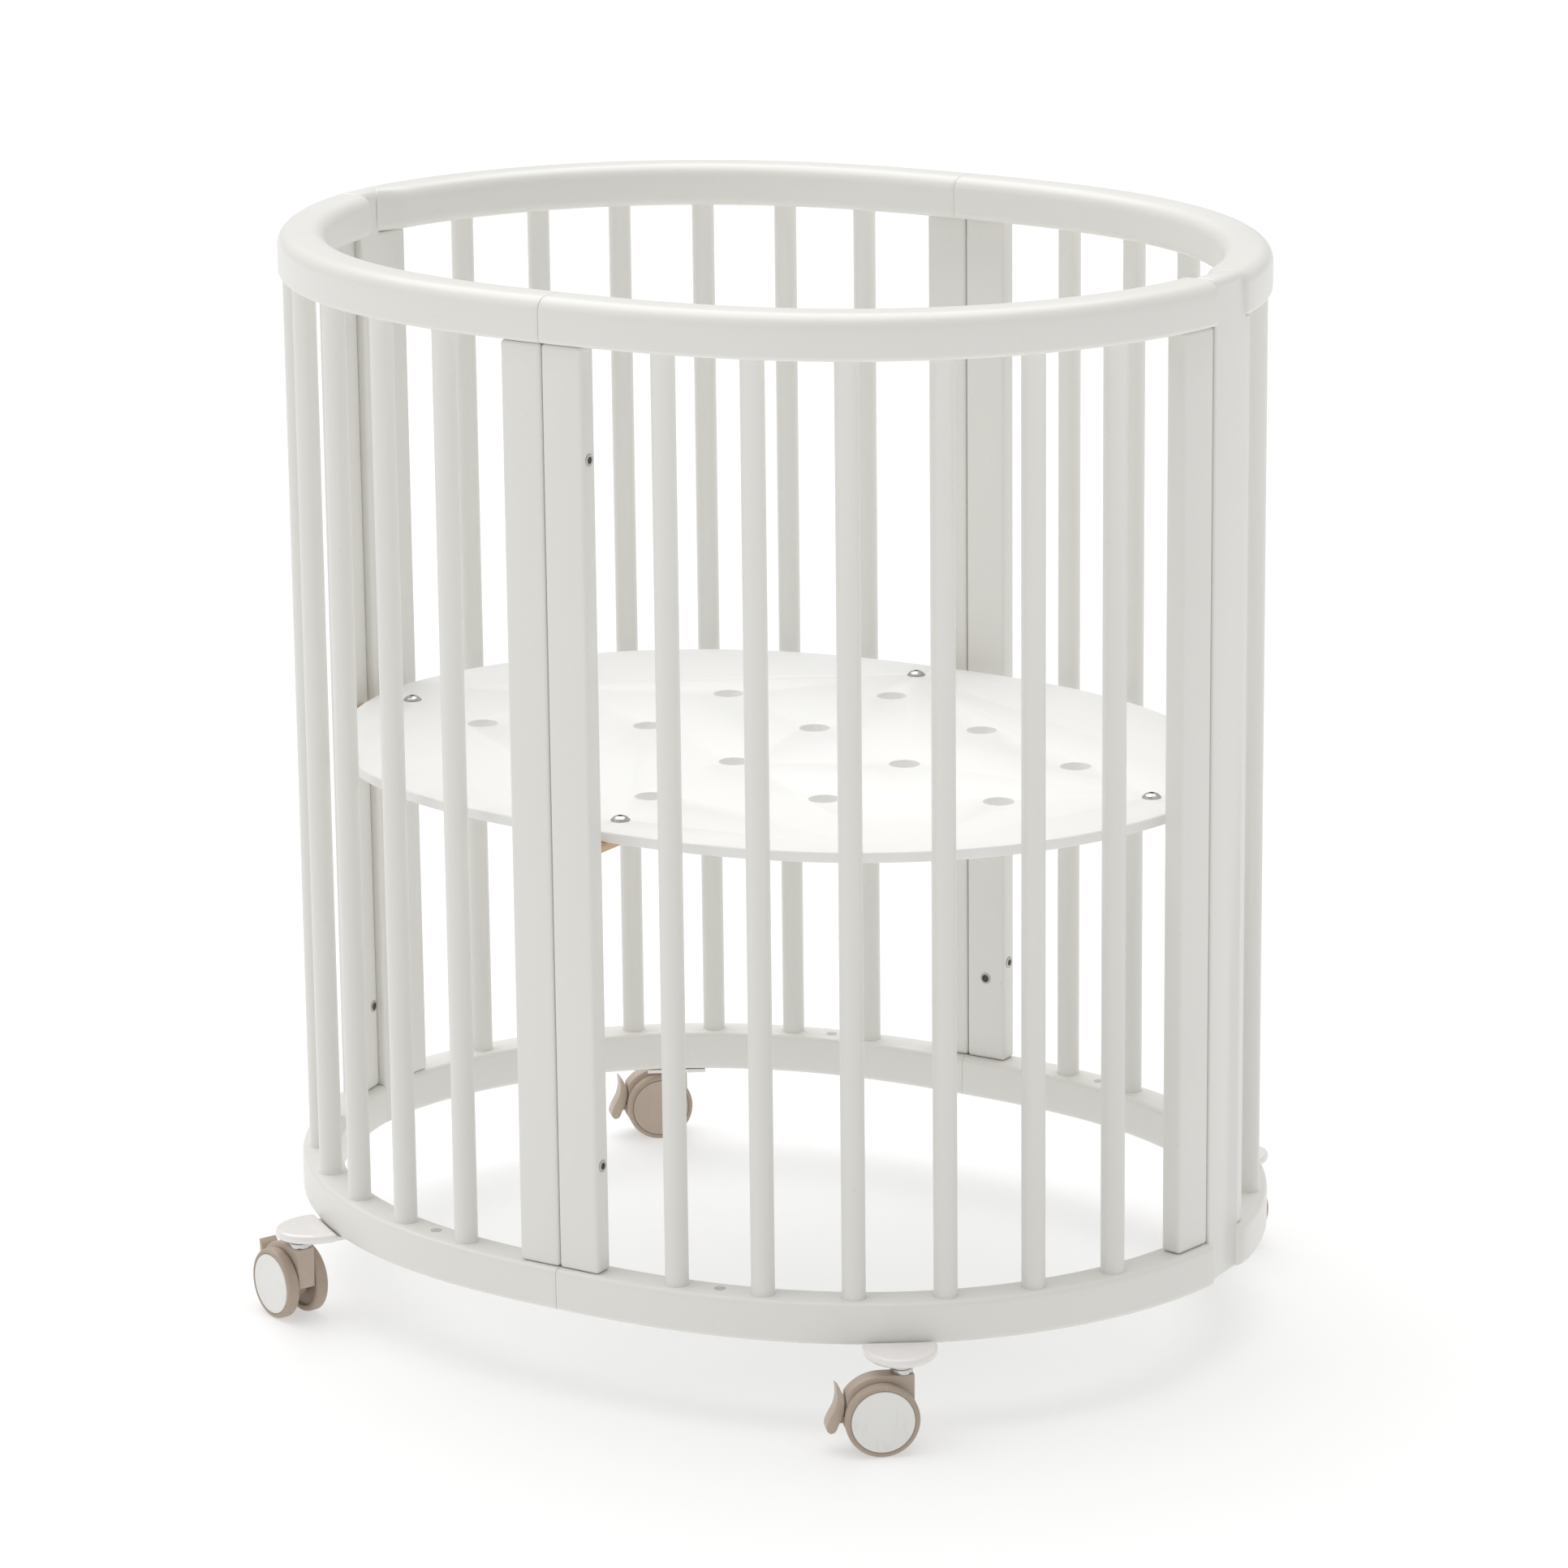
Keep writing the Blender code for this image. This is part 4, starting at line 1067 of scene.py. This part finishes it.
def makeCasters():
    bracket, fork, collar = makeBracketPattern(), makeForkPattern(), makeCollarPattern()
    wheel, cap, blade = makeWheelPattern(), makeCapPattern(), makeLeverPattern()
    patterns = (bracket, fork, collar, wheel, cap, blade)
    joints = {joint["name"]: joint for joint in frame["joints"]}
    for quarter, signs in quarters.items():
        piece = copyOf(bracket, f"{quarter}_bracket_shell", placeAt(quarter, caster["distance"]))
        finish(piece, bracketShell, "bracket_plastic", "crib", f"{quarter}_caster_bracket")
        stem = Vector(joints[quarter + "_caster_swivel"]["pos_m"])
        axis = Vector(joints[quarter + "_wheel_roll"]["axis"])
        heading = Matrix.Rotation(math.atan2(-axis.x, axis.y), 4, "Z")
        seat = Matrix.Translation((stem.x, stem.y, 0)) @ heading
        finish(copyOf(fork, f"{quarter}_fork_shell", seat), taupePlastic, "taupe_plastic", f"{quarter}_swivel",
               f"{quarter}_caster_fork")
        finish(copyOf(collar, f"{quarter}_collar_ring", Matrix.Translation((stem.x, stem.y, 0))), brightSteel,
               "bolt_steel", f"{quarter}_swivel")
        finish(copyOf(blade, f"{quarter}_lever_blade", seat), taupePlastic, "taupe_plastic", f"{quarter}_lever",
               f"{quarter}_brake_lever")
        hub = Matrix.Translation((caster["trail"], 0, caster["wheelRadius"]))
        for side in (-1, 1):
            turn = Matrix.Rotation(-side * math.pi / 2, 4, "X")
            name = "near" if side < 0 else "far"
            tread = copyOf(wheel, f"{quarter}_{name}_wheel", seat @ hub @ turn)
            finish(tread, treadPlastic, "wheel_plastic", f"{quarter}_wheel_pair", f"{quarter}_caster_wheels")
            faces = heading.to_3x3() @ Vector((0, side, 0))
            outside = faces.x * signs[0] + faces.y * signs[1] > 0
            disc = copyOf(cap, f"{quarter}_{name}_cap", seat @ hub @ turn)
            finish(disc, capPlastic if outside else taupePlastic, "wheel_plastic", f"{quarter}_wheel_pair")
        axleRod = blockAxle(quarter)
        axleRod.data.transform(seat @ hub)
        finish(axleRod, zincPlate, "bolt_steel", f"{quarter}_wheel_pair")
    drop(*patterns)


def blockAxle(quarter):
    reach = caster["pairWidth"] / 2 - 0.002
    profile = [(0.0026, -reach), (0.0030, -reach + 0.0004), (0.0030, reach - 0.0004), (0.0026, reach)]
    axle = smooth(turnedPiece(f"{quarter}_axle", profile, 24), 40)
    axle.data.transform(Matrix.Rotation(math.pi / 2, 4, "X"))
    return axle


makeCasters()
print("casters fitted")


# studio: pale floor, soft lights and the camera

studio = {"floorColour": (0.50, 0.50, 0.498), "floorGlow": 0.47, "floorSize": 120.0, "world": 0.52,
          "key": 8.0, "top": 2.05, "topSpread": 70.0, "aimHeight": 0.35, "lens": 140.2, "sensor": 36.0,
          "cameraAt": (2.6048, -4.1292, 1.7525),
          "right": (0.84801, 0.52988, -0.01036), "up": (-0.12981, 0.22661, 0.96530),
          "back": (0.51384, -0.81724, 0.26095)}


def makeFloor():
    deselectAll()
    bpy.ops.mesh.primitive_plane_add(size=studio["floorSize"], location=(0, 0, 0))
    floor = freeze(named("studio_floor"))
    made = Finish("studio_floor")
    mottle = made.noise(0.8, 2.0)
    shade = tuple(value * 0.985 for value in studio["floorColour"])
    base = made.blendColours(mottle.clamped(), shade, studio["floorColour"])
    floor.data.materials.append(made.set(Base_Color=base, Roughness=0.55, Emission_Color=(1.0, 1.0, 1.0, 1.0),
                                         Emission_Strength=studio["floorGlow"]))


def makeLight(name, kind, place, power):
    data = bpy.data.lights.new(name, kind)
    data.energy = power
    lamp = bpy.data.objects.new(name, data)
    bpy.context.scene.collection.objects.link(lamp)
    lamp.location = place
    aim = Vector((0, 0, studio["aimHeight"])) - Vector(place)
    lamp.rotation_euler = aim.to_track_quat("-Z", "Y").to_euler()
    return data


def makeStudio():
    makeFloor()
    key = makeLight("key", "AREA", (-2.4, -3.0, 3.2), studio["key"])
    key.shape, key.size = "DISK", 2.0
    top = makeLight("top", "SUN", (-1.2, 0.8, 5.0), studio["top"])
    top.angle = math.radians(studio["topSpread"])
    world = bpy.data.worlds.new("studio")
    bpy.context.scene.world = world
    world.use_nodes = True
    background = world.node_tree.nodes["Background"]
    background.inputs["Color"].default_value = (1.0, 1.0, 1.0, 1)
    background.inputs["Strength"].default_value = studio["world"]
    camera = bpy.data.objects.new("camera", bpy.data.cameras.new("camera"))
    camera.data.lens = studio["lens"]
    camera.data.sensor_width = studio["sensor"]
    camera.data.clip_end = 200
    columns = [Vector(studio[key]) for key in ("right", "up", "back")]
    turn = Matrix((columns[0], columns[1], columns[2])).transposed().to_4x4()
    camera.matrix_world = Matrix.Translation(studio["cameraAt"]) @ turn
    bpy.context.scene.collection.objects.link(camera)
    bpy.context.scene.camera = camera
    bpy.context.scene.view_settings.view_transform = "Standard"


makeStudio()
print("studio lit")
